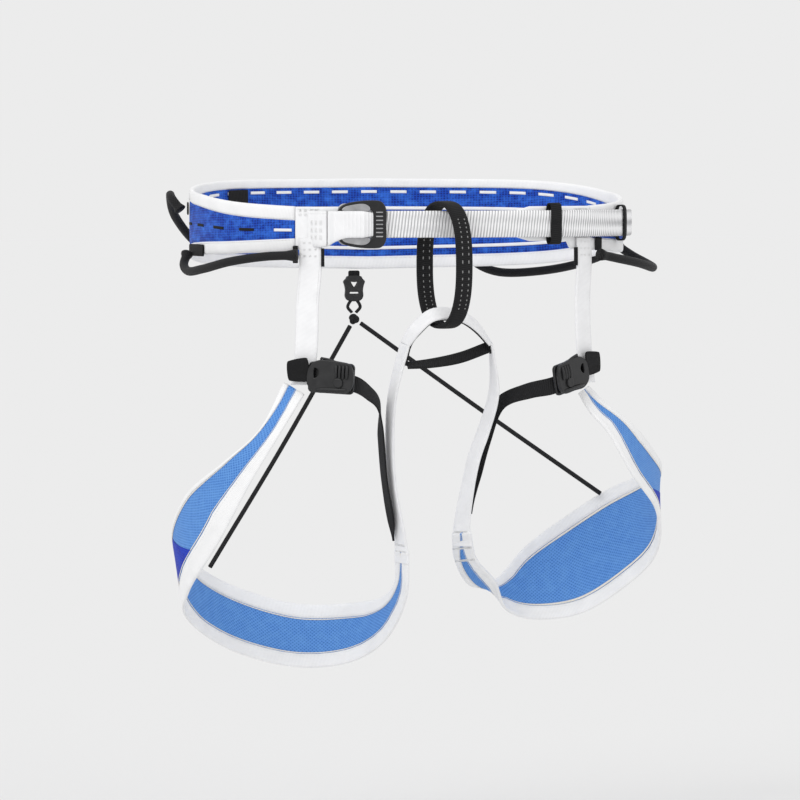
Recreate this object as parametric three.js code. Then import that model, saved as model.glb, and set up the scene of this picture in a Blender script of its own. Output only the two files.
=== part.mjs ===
// Climbing harness: waist belt with a double-back buckle, belay loop, two leg loops joined by a
// bridge over the belay loop, quick-release leg buckles, four gear loops and an elastic rear suspension.
// Millimetres, +Z up. The wearer faces -Y, and the wearer's right is -X.
// The origin is the middle of the waist opening, halfway up the belt.
import * as THREE from 'three';

// ---- driving dimensions ----
const GAP = 0.3;
const WAIST_HALF_WIDTH = 163;
const WAIST_FRONT_DEPTH = 128;
const WAIST_BACK_DEPTH = 102;
const WAIST_SQUARENESS = 2.4;
const BELT_THICKNESS = 4;
const BELT_BINDING_THICKNESS = BELT_THICKNESS + 0.6;
const TOP_BINDING_HEIGHT = 9;
const BOTTOM_BINDING_HEIGHT = 10;
const BELT_WEBBING_WIDTH = 20;
const BELT_WEBBING_THICKNESS = 1.4;
const BELT_WEBBING_MIDDLE = 1.5;
const LEG_WEBBING_WIDTH = 16;
const ADJUSTER_WIDTH = LEG_WEBBING_WIDTH - 3;
const INNER_STRAP_WIDTH = LEG_WEBBING_WIDTH - 1;
const LEG_BINDING_WIDTH = 11;
const LEG_PANEL_THICKNESS = 2.4;
const LEG_BINDING_THICKNESS = 3;
const CORD_DIAMETER = 3.5;
const GEAR_LOOP_DIAMETER = 7;
const PATCH_ANGLE = 36;
const PATCH_HALF_ANGLE = 4.4;
const PATCH_GAP_ANGLE = 0.3;
const LEG_BUCKLE_YAW = 35;

// ---- materials ----
function makeMaterial(color, roughness, metalness = 0) {
  return new THREE.MeshStandardMaterial({ color, roughness, metalness });
}
const WHITE_WEBBING = { color: 0xf0f0f1, roughness: 0.75 };
const WHITE_BINDING = { color: 0xe9e9eb, roughness: 0.8 };
const BELT_MESH = { color: 0x1c50c4, roughness: 0.7 };
const LEG_MESH = { color: 0x4f8bdd, roughness: 0.7 };
const BLACK_WEBBING = { color: 0x2b2b2d, roughness: 0.8 };
const BLACK_PLASTIC = { color: 0x232325, roughness: 0.45 };
const BLACK_METAL = { color: 0x1d1d1f, roughness: 0.35, metalness: 0.6 };
const GREY_METAL = { color: 0x9a9a9c, roughness: 0.4, metalness: 0.8 };

const harness = new THREE.Group();
harness.name = 'climbing_harness';

function addPart(name, geometry, look, parent = harness) {
  const mesh = new THREE.Mesh(geometry, makeMaterial(look.color, look.roughness, look.metalness));
  mesh.name = name;
  parent.add(mesh);
  return mesh;
}

// ---- lofted straps ----
function vector(point) {
  return new THREE.Vector3(...point);
}

function smoothCurve(points, closed = false) {
  return new THREE.CatmullRomCurve3(points.map(vector), closed, 'centripetal');
}

// Joins rings of four corners into one closed solid.
// Each ring runs: lower inside, lower outside, upper outside, upper inside.
function loftRings(rings, closed) {
  const corners = 4;
  const positions = rings.flat().flatMap((point) => point.toArray());
  const index = [];
  const lastRing = closed ? rings.length : rings.length - 1;
  for (let ring = 0; ring < lastRing; ring++) {
    const here = ring * corners;
    const next = ((ring + 1) % rings.length) * corners;
    for (let side = 0; side < corners; side++) {
      const after = (side + 1) % corners;
      index.push(here + side, next + side, next + after);
      index.push(here + side, next + after, here + after);
    }
  }
  if (!closed) {
    const end = (rings.length - 1) * corners;
    index.push(0, 1, 2, 0, 2, 3);
    index.push(end, end + 2, end + 1, end, end + 3, end + 2);
  }
  const geometry = new THREE.BufferGeometry();
  geometry.setAttribute('position', new THREE.Float32BufferAttribute(positions, 3));
  geometry.setIndex(index);
  geometry.computeVertexNormals();
  return geometry;
}

// A strap between two edge functions of 0..1. It runs so that its outside is on the left of its
// width, lift moves it outwards, and the insets trim it in from its two edges.
function strapBetween(lowerEdge, upperEdge, options) {
  const { thickness, steps, lift = 0, insetLower = 0, insetUpper = 0, closed = false } = options;
  const step = 1 / steps;
  const rings = [];
  const count = closed ? steps : steps + 1;
  for (let i = 0; i < count; i++) {
    const t = i * step;
    const lower = lowerEdge(t);
    const upper = upperEdge(t);
    const before = Math.max(t - step / 2, closed ? t - step / 2 : 0);
    const beyond = Math.min(t + step / 2, closed ? t + step / 2 : 1);
    const travel = lowerEdge(beyond).add(upperEdge(beyond));
    travel.sub(lowerEdge(before)).sub(upperEdge(before)).normalize();
    const width = upper.clone().sub(lower).normalize();
    const outward = travel.cross(width).normalize();
    lower.addScaledVector(width, insetLower).addScaledVector(outward, lift);
    upper.addScaledVector(width, -insetUpper).addScaledVector(outward, lift);
    const half = thickness / 2;
    rings.push([
      lower.clone().addScaledVector(outward, -half),
      lower.clone().addScaledVector(outward, half),
      upper.clone().addScaledVector(outward, half),
      upper.clone().addScaledVector(outward, -half),
    ]);
  }
  return loftRings(rings, closed);
}

// A strap along a hand-placed centre line, with its width direction given at each point.
function strapAlong(stations, width, options) {
  const centre = smoothCurve(stations.map((station) => station.at));
  const across = smoothCurve(stations.map((station) => station.across));
  const edge = (side) => (t) => {
    const direction = across.getPoint(t).normalize();
    return centre.getPoint(t).addScaledVector(direction, (side * width) / 2);
  };
  return strapBetween(edge(-1), edge(1), options);
}

function edgesThrough(stations) {
  const lower = smoothCurve(stations.map((station) => station.lower));
  const upper = smoothCurve(stations.map((station) => station.upper));
  return { lower: (t) => lower.getPoint(t), upper: (t) => upper.getPoint(t) };
}

// A round cord or tube along a curve, made as an extruded regular polygon.
function roundTube(curve, diameter, sides, steps) {
  const section = new THREE.Shape();
  for (let i = 0; i < sides; i++) {
    const angle = (i / sides) * 2 * Math.PI;
    const x = (Math.cos(angle) * diameter) / 2;
    const y = (Math.sin(angle) * diameter) / 2;
    if (i === 0) section.moveTo(x, y);
    else section.lineTo(x, y);
  }
  section.closePath();
  return new THREE.ExtrudeGeometry(section, { steps, extrudePath: curve, bevelEnabled: false });
}

// A sine or cosine with its magnitude raised to a power, which squares off an ellipse.
function softened(value, power) {
  return Math.sign(value) * Math.abs(value) ** power;
}

// ---- waist outline ----
// Angle 0 is the middle of the front, 90 is the wearer's left side, 180 the middle of the back.
function waistPoint(degrees, z, outward = 0) {
  const angle = THREE.MathUtils.degToRad(degrees);
  const sin = Math.sin(angle);
  const cos = Math.cos(angle);
  const power = 2 / WAIST_SQUARENESS;
  const depth = cos > 0 ? WAIST_FRONT_DEPTH : WAIST_BACK_DEPTH;
  const x = (WAIST_HALF_WIDTH + outward) * softened(sin, power);
  const y = -(depth + outward) * softened(cos, power);
  return new THREE.Vector3(x, y, z);
}

// Belt height at the patches, the sides and the back, for both sides alike.
const BELT_PROFILE = [
  { angle: 35, bottom: -18, top: 14 },
  { angle: 65, bottom: -21, top: 18 },
  { angle: 90, bottom: -23, top: 24 },
  { angle: 130, bottom: -32, top: 30 },
  { angle: 180, bottom: -36, top: 32 },
];

function beltLevel(edge, degrees) {
  const fromFront = degrees > 180 ? 360 - degrees : degrees;
  const curve = smoothCurve(BELT_PROFILE.map((station) => [station.angle, 0, station[edge]]));
  let low = 0;
  let high = 1;
  for (let i = 0; i < 20; i++) {
    const middle = (low + high) / 2;
    if (curve.getPoint(middle).x < fromFront) low = middle;
    else high = middle;
  }
  return curve.getPoint(low).z;
}

function waistBand(fromAngle, toAngle, bottomLevel, topLevel, options) {
  const angleAt = (t) => fromAngle + (toAngle - fromAngle) * t;
  const lower = (t) => waistPoint(angleAt(t), bottomLevel(angleAt(t)), options.outward ?? 0);
  const upper = (t) => waistPoint(angleAt(t), topLevel(angleAt(t)), options.outward ?? 0);
  return strapBetween(lower, upper, options);
}

// ---- waist belt pad ----
function addWaistPad() {
  const from = PATCH_ANGLE + PATCH_HALF_ANGLE + PATCH_GAP_ANGLE;
  const to = 360 - from;
  const bottom = (degrees) => beltLevel('bottom', degrees);
  const top = (degrees) => beltLevel('top', degrees);
  const bottomSeam = (degrees) => bottom(degrees) + BOTTOM_BINDING_HEIGHT;
  const topSeam = (degrees) => top(degrees) - TOP_BINDING_HEIGHT;
  const pad = { thickness: BELT_THICKNESS, steps: 96 };
  const binding = { ...pad, thickness: BELT_BINDING_THICKNESS };
  const mesh = waistBand(from, to, bottomSeam, topSeam, { ...pad, insetLower: GAP, insetUpper: GAP });
  const lowerBinding = waistBand(from, to, bottom, bottomSeam, binding);
  const upperBinding = waistBand(from, to, topSeam, top, binding);
  addPart('waist_mesh_panel', mesh, BELT_MESH);
  addPart('waist_lower_binding', lowerBinding, WHITE_BINDING);
  addPart('waist_upper_binding', upperBinding, WHITE_BINDING);

  const tape = { thickness: 0.8, steps: 60, lift: -(BELT_THICKNESS / 2 + GAP + 0.4) };
  const tapeWidth = 2.5;
  const innerTape = (level) => waistBand(
    95, 265, level, (degrees) => level(degrees) + tapeWidth, tape);
  addPart('inner_seam_tape_upper', innerTape((degrees) => topSeam(degrees) - 13), WHITE_BINDING);
  addPart('inner_seam_tape_lower', innerTape((degrees) => bottomSeam(degrees) + 5), WHITE_BINDING);

  const label = waistBand(
    216, 223, () => 12, () => 26, { thickness: 0.8, steps: 4, lift: -(BELT_THICKNESS / 2 + 1.2) });
  addPart('blank_inner_label', label, BLACK_WEBBING);
}

// ---- front patches, where the pad, the belt webbing and the risers are sewn together ----
// A tongue of the same white fabric reaches forward from each patch behind the belt webbing.
function addFrontPatch(name, side, tongueAngle) {
  const outer = PATCH_ANGLE + PATCH_HALF_ANGLE;
  const inner = PATCH_ANGLE - PATCH_HALF_ANGLE;
  const webbingTop = BELT_WEBBING_MIDDLE + BELT_WEBBING_WIDTH / 2;
  const webbingBottom = BELT_WEBBING_MIDDLE - BELT_WEBBING_WIDTH / 2;
  const onTongue = (degrees) => Math.abs(degrees) < inner;
  const taper = (degrees) => Math.min(1, (Math.abs(degrees) - tongueAngle) / 4);
  const bottom = (degrees) => (onTongue(degrees) ? webbingBottom - 3 * taper(degrees) : webbingBottom - 9);
  const top = (degrees) => (onTongue(degrees) ? webbingTop + 3 * taper(degrees) : webbingTop + 3);
  const from = side > 0 ? tongueAngle : -outer;
  const to = side > 0 ? outer : -tongueAngle;
  addPart(name, waistBand(from, to, bottom, top, { thickness: 4, steps: 24 }), WHITE_WEBBING);
}

// ---- belt webbing, its buckle and keepers ----
const TAIL_OFFSET = 7.6;
const BASE_OFFSET = 5.2;
const TAIL_END_ANGLE = 72;
const BUCKLE_ANGLE = -20;

function addBeltWebbing() {
  const half = BELT_WEBBING_WIDTH / 2;
  const low = () => BELT_WEBBING_MIDDLE - half;
  const high = () => BELT_WEBBING_MIDDLE + half;
  const webbing = { thickness: BELT_WEBBING_THICKNESS, steps: 40 };
  addPart('belt_webbing', waistBand(BUCKLE_ANGLE + 7, PATCH_ANGLE + 14, low, high,
    { ...webbing, outward: BASE_OFFSET }), WHITE_WEBBING);
  addPart('belt_webbing_tail', waistBand(BUCKLE_ANGLE - 3.5, TAIL_END_ANGLE, low, high,
    { ...webbing, outward: TAIL_OFFSET }), WHITE_WEBBING);
  addPart('buckle_anchor_webbing', waistBand(-PATCH_ANGLE, BUCKLE_ANGLE - 4.8, low, high,
    { ...webbing, steps: 12, outward: TAIL_OFFSET }), WHITE_WEBBING);
}

function rectangleOutline(shape, halfWidth, halfHeight, radius) {
  shape.moveTo(-halfWidth + radius, -halfHeight);
  shape.lineTo(halfWidth - radius, -halfHeight);
  shape.absarc(halfWidth - radius, -halfHeight + radius, radius, -Math.PI / 2, 0, false);
  shape.lineTo(halfWidth, halfHeight - radius);
  shape.absarc(halfWidth - radius, halfHeight - radius, radius, 0, Math.PI / 2, false);
  shape.lineTo(-halfWidth + radius, halfHeight);
  shape.absarc(-halfWidth + radius, halfHeight - radius, radius, Math.PI / 2, Math.PI, false);
  shape.lineTo(-halfWidth, -halfHeight + radius);
  shape.absarc(-halfWidth + radius, -halfHeight + radius, radius, Math.PI, 1.5 * Math.PI, false);
  return shape;
}

// A plate in the XZ plane with rounded rectangular windows. Its outside faces -Y.
function windowedPlate(width, height, thickness, radius, windows) {
  const plate = rectangleOutline(new THREE.Shape(), width / 2, height / 2, radius);
  for (const hole of windows) {
    const outline = rectangleOutline(new THREE.Path(), hole.width / 2, hole.height / 2, 1);
    const points = outline.getPoints(3).map((p) => new THREE.Vector2(p.x + hole.x, p.y + hole.z));
    plate.holes.push(new THREE.Path(points));
  }
  const extrusion = { depth: thickness, curveSegments: 4, bevelEnabled: false };
  const geometry = new THREE.ExtrudeGeometry(plate, extrusion);
  geometry.translate(0, 0, -thickness / 2);
  geometry.rotateX(Math.PI / 2);
  return geometry;
}

function addWaistBuckle() {
  const at = waistPoint(BUCKLE_ANGLE, BELT_WEBBING_MIDDLE, TAIL_OFFSET + 3);
  const buckle = new THREE.Group();
  buckle.position.copy(at);
  const beside = waistPoint(BUCKLE_ANGLE + 1, BELT_WEBBING_MIDDLE, TAIL_OFFSET + 3);
  buckle.rotation.z = Math.atan2(beside.y - at.y, beside.x - at.x);
  harness.add(buckle);
  const frame = windowedPlate(35, 33, 2.6, 6, [{ x: -3, z: 0, width: 21, height: 24 }]);
  addPart('waist_buckle_frame', frame, BLACK_METAL, buckle);
  const plate = windowedPlate(30, 31, 1.8, 5, [
    { x: -6.5, z: 0, width: 7, height: 22 },
    { x: 5.5, z: 0, width: 8, height: 22 },
  ]);
  const plateMesh = addPart('waist_buckle_plate', plate, GREY_METAL, buckle);
  plateMesh.position.set(-3, 5.8, 0);
}

function addKeeper(name, angle, width, height) {
  const at = waistPoint(angle, BELT_WEBBING_MIDDLE, (BASE_OFFSET + TAIL_OFFSET) / 2);
  const ahead = waistPoint(angle + 1, BELT_WEBBING_MIDDLE, (BASE_OFFSET + TAIL_OFFSET) / 2);
  const travel = ahead.sub(at).normalize();
  const outward = travel.clone().cross(new THREE.Vector3(0, 0, 1));
  const depth = 3.4;
  const around = (side) => (t) => {
    const turn = -t * 2 * Math.PI;
    const out = softened(Math.cos(turn), 0.5) * depth;
    const up = softened(Math.sin(turn), 0.5) * (height / 2);
    return at.clone()
      .addScaledVector(outward, out)
      .addScaledVector(travel, (side * width) / 2)
      .add(new THREE.Vector3(0, 0, up));
  };
  const options = { thickness: 1.2, steps: 28, closed: true };
  addPart(name, strapBetween(around(-1), around(1), options), BLACK_WEBBING);
}

// ---- belay loop: an upright oval of webbing, turned a little about the vertical ----
const BELAY_LOOP = { x: -8, y: -134, top: 19, bottom: -76.5, depth: 45.5, width: 15, turn: 24 };

function addBelayLoop() {
  const { x, y, top, bottom, depth, width, turn } = BELAY_LOOP;
  const angle = THREE.MathUtils.degToRad(turn);
  const front = new THREE.Vector3(Math.sin(angle), -Math.cos(angle), 0);
  const across = new THREE.Vector3(Math.cos(angle), Math.sin(angle), 0);
  const middle = (top + bottom) / 2;
  const halfHeight = (top - bottom) / 2 - 2;
  const around = (side) => (t) => {
    const swing = t * 2 * Math.PI;
    const up = softened(Math.cos(swing), 0.8) * halfHeight;
    const forward = softened(Math.sin(swing), 0.85) * (depth / 2);
    return new THREE.Vector3(x, y, middle + up)
      .addScaledVector(front, forward)
      .addScaledVector(across, (side * width) / 2);
  };
  const options = { thickness: 3.6, steps: 56, closed: true };
  addPart('belay_loop', strapBetween(around(1), around(-1), options), BLACK_WEBBING);
}

// ---- risers from the belt to the leg buckles ----
const RISER_BOTTOM = -88;

function addRiser(name, side) {
  const slant = [0.82 * side, 0.57, 0];
  const across = side > 0 ? slant : slant.map((value) => -value);
  const stations = [
    { at: [side * 108, -108, -19], across },
    { at: [side * 107, -110, -55], across },
    { at: [side * 108, -110, RISER_BOTTOM], across },
  ];
  const options = { thickness: 2, steps: 8 };
  addPart(name, strapAlong(stations, 18, options), WHITE_WEBBING);
}

// ---- leg bridge: the white strap arching through the belay loop, with its black lining ----
const BRIDGE = [
  { at: [-33, -116, -88], across: [-0.25, 0.93, 0.25] },
  { at: [-28, -125, -77], across: [-0.3, 0.8, 0.5] },
  { at: [-18, -133.5, -66.5], across: [-0.1, 0.72, 0.69] },
  { at: [-7, -134.5, -65], across: [0, 0.7, 0.71] },
  { at: [6, -130.5, -67], across: [0.1, 0.72, 0.69] },
  { at: [20, -124, -75], across: [0.25, 0.8, 0.55] },
  { at: [33, -115, -88], across: [0.25, 0.93, 0.25] },
];

function addBridge() {
  const bridge = strapAlong(BRIDGE, 12.5, { thickness: 2, steps: 28 });
  addPart('leg_bridge', bridge, WHITE_WEBBING);
  const lining = strapAlong(BRIDGE, 10, { thickness: 1.2, steps: 28, lift: -2 });
  addPart('leg_bridge_lining', lining, BLACK_WEBBING);
  const cross = [
    { at: [-26, -115, -102], across: [0.1, 0.9, 0.35] },
    { at: [0, -119, -99], across: [0.05, 0.75, 0.6] },
    { at: [27, -115, -94], across: [0, 0.75, 0.6] },
  ];
  addPart('bridge_cross_strap', strapAlong(cross, 12, { thickness: 1.6, steps: 16 }), BLACK_WEBBING);
}

// ---- leg loops ----
// Each loop runs the same way round as the belt: front to the wearer's left, back, right, front.
const RIGHT_LEG_LOOP = [
  { lower: [-15, -62, -246], upper: [-21, -46, -246] },
  { lower: [-12, -46, -281], upper: [-15, -26, -270] },
  { lower: [-17, 2, -319], upper: [-17, 6, -284] },
  { lower: [-35, 36, -336], upper: [-34, 36, -290] },
  { lower: [-70, 60, -340], upper: [-70, 60, -291] },
  { lower: [-119, 64, -327], upper: [-120, 64, -276] },
  { lower: [-162, 32, -301], upper: [-167, 28, -250] },
  { lower: [-181, -27, -276], upper: [-186, -15, -228] },
  { lower: [-175, -80, -237], upper: [-184, -52, -200] },
  { lower: [-155, -107, -189], upper: [-166, -94, -174] },
  { lower: [-129, -116, -153], upper: [-144, -107, -152] },
  { lower: [-110, -112, -125], upper: [-123, -102, -116] },
];
const LEFT_LEG_LOOP = [
  { lower: [103, -113, -126], upper: [114, -103, -121] },
  { lower: [110, -119, -140], upper: [126, -108, -134] },
  { lower: [122, -123, -154], upper: [146, -104, -148] },
  { lower: [143, -120, -187], upper: [172, -80, -170] },
  { lower: [165, -100, -216], upper: [184, -48, -186] },
  { lower: [177, -62, -250], upper: [175, -16, -194] },
  { lower: [167, -26, -275], upper: [158, 4, -205] },
  { lower: [141, 8, -300], upper: [135, 18, -224] },
  { lower: [107, 22, -304], upper: [103, 22, -247] },
  { lower: [80, 10, -293], upper: [74, 13, -266] },
  { lower: [61, -14, -272], upper: [52, -1, -274] },
  { lower: [43, -45, -252], upper: [31, -28, -254] },
  { lower: [34, -62, -232], upper: [23, -48, -234] },
];

function smoothStep(value) {
  return THREE.MathUtils.smoothstep(value, 0, 1);
}

// The two bindings nearly meet at the inner thigh. From outerFrom to outerTo, where it is given, the
// upper binding is slim and the lower one is wide.
function addLegBand(side, stations, { innerEnd, outerFrom, outerTo }) {
  const edges = edgesThrough(stations);
  const width = (t) => edges.upper(t).distanceTo(edges.lower(t));
  const closing = (t) => 1 - smoothStep(Math.abs(t - innerEnd) / 0.12);
  const outside = (t) => {
    if (outerFrom === undefined) return 0;
    return smoothStep((t - outerFrom) / 0.08) * smoothStep((outerTo - t) / 0.08);
  };
  const seam = (t, share, widest) => {
    const openShare = share + (0.45 - share) * closing(t);
    return Math.min(widest, width(t) * openShare);
  };
  const lowerWidth = (t) => seam(t, 0.4, LEG_BINDING_WIDTH + 7 * outside(t));
  const upperWidth = (t) => seam(t, 0.26, LEG_BINDING_WIDTH) * (1 - 0.68 * outside(t));
  const lowerSeam = (t) => moveToward(edges.lower(t), edges.upper(t), lowerWidth(t));
  const upperSeam = (t) => moveToward(edges.upper(t), edges.lower(t), upperWidth(t));
  const steps = 60;
  const binding = { thickness: LEG_BINDING_THICKNESS, steps };
  const panel = { thickness: LEG_PANEL_THICKNESS, steps, insetLower: 2 * GAP, insetUpper: 2 * GAP };
  addPart(`${side}_leg_panel`, strapBetween(lowerSeam, upperSeam, panel), LEG_MESH);
  addPart(`${side}_leg_lower_binding`, strapBetween(edges.lower, lowerSeam, binding), WHITE_BINDING);
  addPart(`${side}_leg_upper_binding`, strapBetween(upperSeam, edges.upper, binding), WHITE_BINDING);
}

function moveToward(from, to, distance) {
  const direction = to.clone().sub(from).normalize();
  return from.clone().addScaledVector(direction, distance);
}

// The white strap from the end of the leg loop up the inside of the thigh to the bridge.
const RIGHT_INNER_STRAP = [
  { at: [-33, -114, -92], across: [-0.15, 0.97, 0.2] },
  { at: [-39, -103, -125], across: [-0.12, 0.96, 0.2] },
  { at: [-37, -88, -155], across: [-0.12, 0.96, 0.2] },
  { at: [-31, -72, -193], across: [-0.15, 0.96, 0.2] },
  { at: [-18.5, -55, -243], across: [-0.35, 0.93, 0.05] },
];
const LEFT_INNER_STRAP = [
  { at: [28.5, -54, -229], across: [-0.6, 0.8, 0] },
  { at: [32, -74, -192], across: [-0.36, 0.9, 0.2] },
  { at: [39, -91, -155], across: [-0.3, 0.92, 0.2] },
  { at: [41, -104, -125], across: [-0.2, 0.95, 0.2] },
  { at: [34, -114, -92], across: [0.15, 0.97, 0.2] },
];

// The black strap from the leg buckle round the front of the thigh and down beside the inner strap.
const RIGHT_ADJUSTER = [
  { at: [-75, -130, -118], across: [0.15, 0.3, 0.94] },
  { at: [-62, -117, -124], across: [0.3, 0.5, 0.8] },
  { at: [-48, -97, -135], across: [0.3, 0.8, 0.5] },
  { at: [-43, -85, -160], across: [-0.1, 0.97, 0.2] },
  { at: [-37, -73, -191], across: [-0.1, 0.97, 0.2] },
  { at: [-28, -60, -224], across: [-0.25, 0.95, 0.2] },
];
const LEFT_ADJUSTER = [
  { at: [36.5, -62, -218], across: [-0.3, 0.93, 0.2] },
  { at: [37, -73, -191], across: [-0.3, 0.93, 0.2] },
  { at: [43, -86, -160], across: [-0.2, 0.95, 0.2] },
  { at: [49, -96, -134], across: [-0.3, 0.8, 0.5] },
  { at: [62, -117, -124], across: [-0.3, 0.5, 0.8] },
  { at: [76, -129, -121], across: [-0.15, 0.3, 0.94] },
];

function addLegStraps() {
  const inner = { thickness: 2.2, steps: 26 };
  const adjuster = { thickness: 1.4, steps: 28 };
  addPart('right_inner_thigh_strap', strapAlong(RIGHT_INNER_STRAP, INNER_STRAP_WIDTH, inner), WHITE_WEBBING);
  addPart('left_inner_thigh_strap', strapAlong(LEFT_INNER_STRAP, INNER_STRAP_WIDTH, inner), WHITE_WEBBING);
  addPart('right_adjuster_strap', strapAlong(RIGHT_ADJUSTER, ADJUSTER_WIDTH, adjuster), BLACK_WEBBING);
  addPart('left_adjuster_strap', strapAlong(LEFT_ADJUSTER, ADJUSTER_WIDTH, adjuster), BLACK_WEBBING);
}

// A quick-release buckle: a frame on the adjuster strap, a hinged hook plate over it, and the
// short black webbing that ties the hook plate to the leg loop.
function addLegBuckle(side, sign, at, roll) {
  const buckle = new THREE.Group();
  buckle.position.set(...at);
  buckle.rotation.order = 'ZYX';
  buckle.rotation.z = THREE.MathUtils.degToRad(LEG_BUCKLE_YAW * sign);
  buckle.rotation.y = THREE.MathUtils.degToRad(roll);
  harness.add(buckle);
  const frame = windowedPlate(36, 24, 2.4, 3, [
    { x: 11 * -sign, z: 0, width: 4, height: 18 },
    { x: 3 * -sign, z: 0, width: 4, height: 18 },
  ]);
  addPart(`${side}_leg_buckle_frame`, frame, BLACK_PLASTIC, buckle);
  const hook = windowedPlate(24, 22, 3.2, 4, [{ x: 6 * sign, z: 0, width: 6, height: 10 }]);
  const hookMesh = addPart(`${side}_leg_buckle_hook`, hook, BLACK_PLASTIC, buckle);
  hookMesh.position.set(4 * sign, -3.2, 0);
  const wrap = windowedPlate(15, LEG_WEBBING_WIDTH + 2, 1.6, 1.5, []);
  const wrapMesh = addPart(`${side}_leg_buckle_webbing`, wrap, BLACK_WEBBING, buckle);
  wrapMesh.position.set(25 * sign, -3.4, 0);
}

// ---- rear suspension: clip, cord loop and the elastic cord to each leg loop ----
const CLIP = { x: -12, y: 101, top: -38 };

function addRearSuspension() {
  const clip = new THREE.Group();
  clip.position.set(CLIP.x, CLIP.y, CLIP.top);
  harness.add(clip);
  const tab = windowedPlate(9, 5, 1.6, 1, []);
  addPart('rear_clip_tab', tab, BLACK_WEBBING, clip).position.set(0, 0, -1.6);
  const body = windowedPlate(16, 17.2, 3.4, 4, [
    { x: 0, z: 4, width: 6, height: 4 },
    { x: 0, z: -4.5, width: 7, height: 2.6 },
  ]);
  addPart('rear_clip', body, BLACK_PLASTIC, clip).position.set(0, 0, -13.1);

  const knotAt = [CLIP.x, CLIP.y, CLIP.top - 36.6];
  const knot = new THREE.IcosahedronGeometry(4.2, 2);
  addPart('suspension_knot', knot, BLACK_WEBBING).position.set(...knotAt);
  const loop = smoothCurve([
    [CLIP.x - 1.6, CLIP.y, CLIP.top - 31.6],
    [CLIP.x - 5, CLIP.y, CLIP.top - 27],
    [CLIP.x, CLIP.y, CLIP.top - 23.3],
    [CLIP.x + 5, CLIP.y, CLIP.top - 27],
    [CLIP.x + 1.6, CLIP.y, CLIP.top - 31.6],
  ]);
  addPart('suspension_cord_loop', roundTube(loop, CORD_DIAMETER - 0.8, 8, 20), BLACK_WEBBING);

  const rightCord = smoothCurve([
    [CLIP.x - 3.4, CLIP.y - 1, CLIP.top - 42],
    [CLIP.x - 63, CLIP.y - 22, CLIP.top - 133],
    [-138.5, 57, -262],
  ]);
  const leftCord = smoothCurve([
    [CLIP.x + 4.8, CLIP.y - 2, CLIP.top - 39.8],
    [74, 50, -143],
    [155.5, -1, -207],
  ]);
  addPart('right_elastic_cord', roundTube(rightCord, CORD_DIAMETER, 8, 30), BLACK_WEBBING);
  addPart('left_elastic_cord', roundTube(leftCord, CORD_DIAMETER, 8, 30), BLACK_WEBBING);
}

// ---- gear loops ----
const GEAR_LOOPS = {
  front_right: {
    tabs: { front: { angle: -44, level: -14 }, back: { angle: -94, level: -17 } },
    route: [
      [-121, -109, -22], [-137, -98, -25], [-158, -74, -30], [-173, -42, -34],
      [-180, -14, -31], [-178, 2, -24], [-171.5, 8, -17],
    ],
  },
  front_left: {
    tabs: { front: { angle: 44, level: -14 }, back: { angle: 94, level: -17 } },
    route: [
      [121, -109, -22], [137, -100, -25], [160, -82, -29], [180, -54, -33],
      [187, -22, -31], [180, 0, -24], [171.5, 8, -17],
    ],
  },
  rear_right: {
    tabs: { front: { angle: -100, level: 12 }, back: { angle: -154, level: -24 } },
    route: [
      [-170.5, 22, 11], [-175.5, 27, 19], [-173, 43, 22], [-160.5, 76, 5],
      [-134, 100, -18], [-104, 111, -27], [-84, 111, -23],
    ],
  },
  rear_left: {
    tabs: { front: { angle: 104, level: -6 }, back: { angle: 154, level: -24 } },
    route: [
      [171, 26, -8], [177, 40, -20], [164, 70, -31], [138, 97, -38],
      [108, 112, -39], [92, 114, -33], [82, 111.5, -24],
    ],
  },
};

function addGearLoop(name, { route, tabs }) {
  const loop = roundTube(smoothCurve(route), GEAR_LOOP_DIAMETER, 10, 40);
  addPart(`${name}_gear_loop`, loop, BLACK_PLASTIC);
  const halfAngle = 3;
  const halfHeight = 5;
  for (const [end, { angle, level }] of Object.entries(tabs)) {
    const tab = waistBand(
      angle - halfAngle, angle + halfAngle, () => level - halfHeight, () => level + halfHeight,
      { thickness: 1.2, steps: 4, outward: 3.3 });
    addPart(`${name}_gear_loop_${end}_tab`, tab, BLACK_WEBBING);
  }
}

addWaistPad();
addFrontPatch('right_front_patch', -1, 24);
addFrontPatch('left_front_patch', 1, 14);
addBeltWebbing();
addWaistBuckle();
addKeeper('front_keeper', 24, 10, 30);
addKeeper('side_keeper', 57, 6, 26);
addBelayLoop();
addRiser('right_riser', -1);
addRiser('left_riser', 1);
addBridge();
addLegBand('right', RIGHT_LEG_LOOP, { innerEnd: 0, outerFrom: 0.5, outerTo: 0.98 });
addLegBand('left', LEFT_LEG_LOOP, { innerEnd: 1 });
addLegStraps();
addLegBuckle('right', -1, [-93, -125, -114], 3);
addLegBuckle('left', 1, [93, -124, -114], -12);
addRearSuspension();
for (const [name, loop] of Object.entries(GEAR_LOOPS)) addGearLoop(name, loop);

export default harness;
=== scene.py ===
# Climbing harness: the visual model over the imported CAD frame, in metres.
# The wearer faces -Y, the wearer's right is -X, and the origin is the middle of the waist opening.
import bpy
import math
from mathutils import Matrix, Vector


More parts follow.
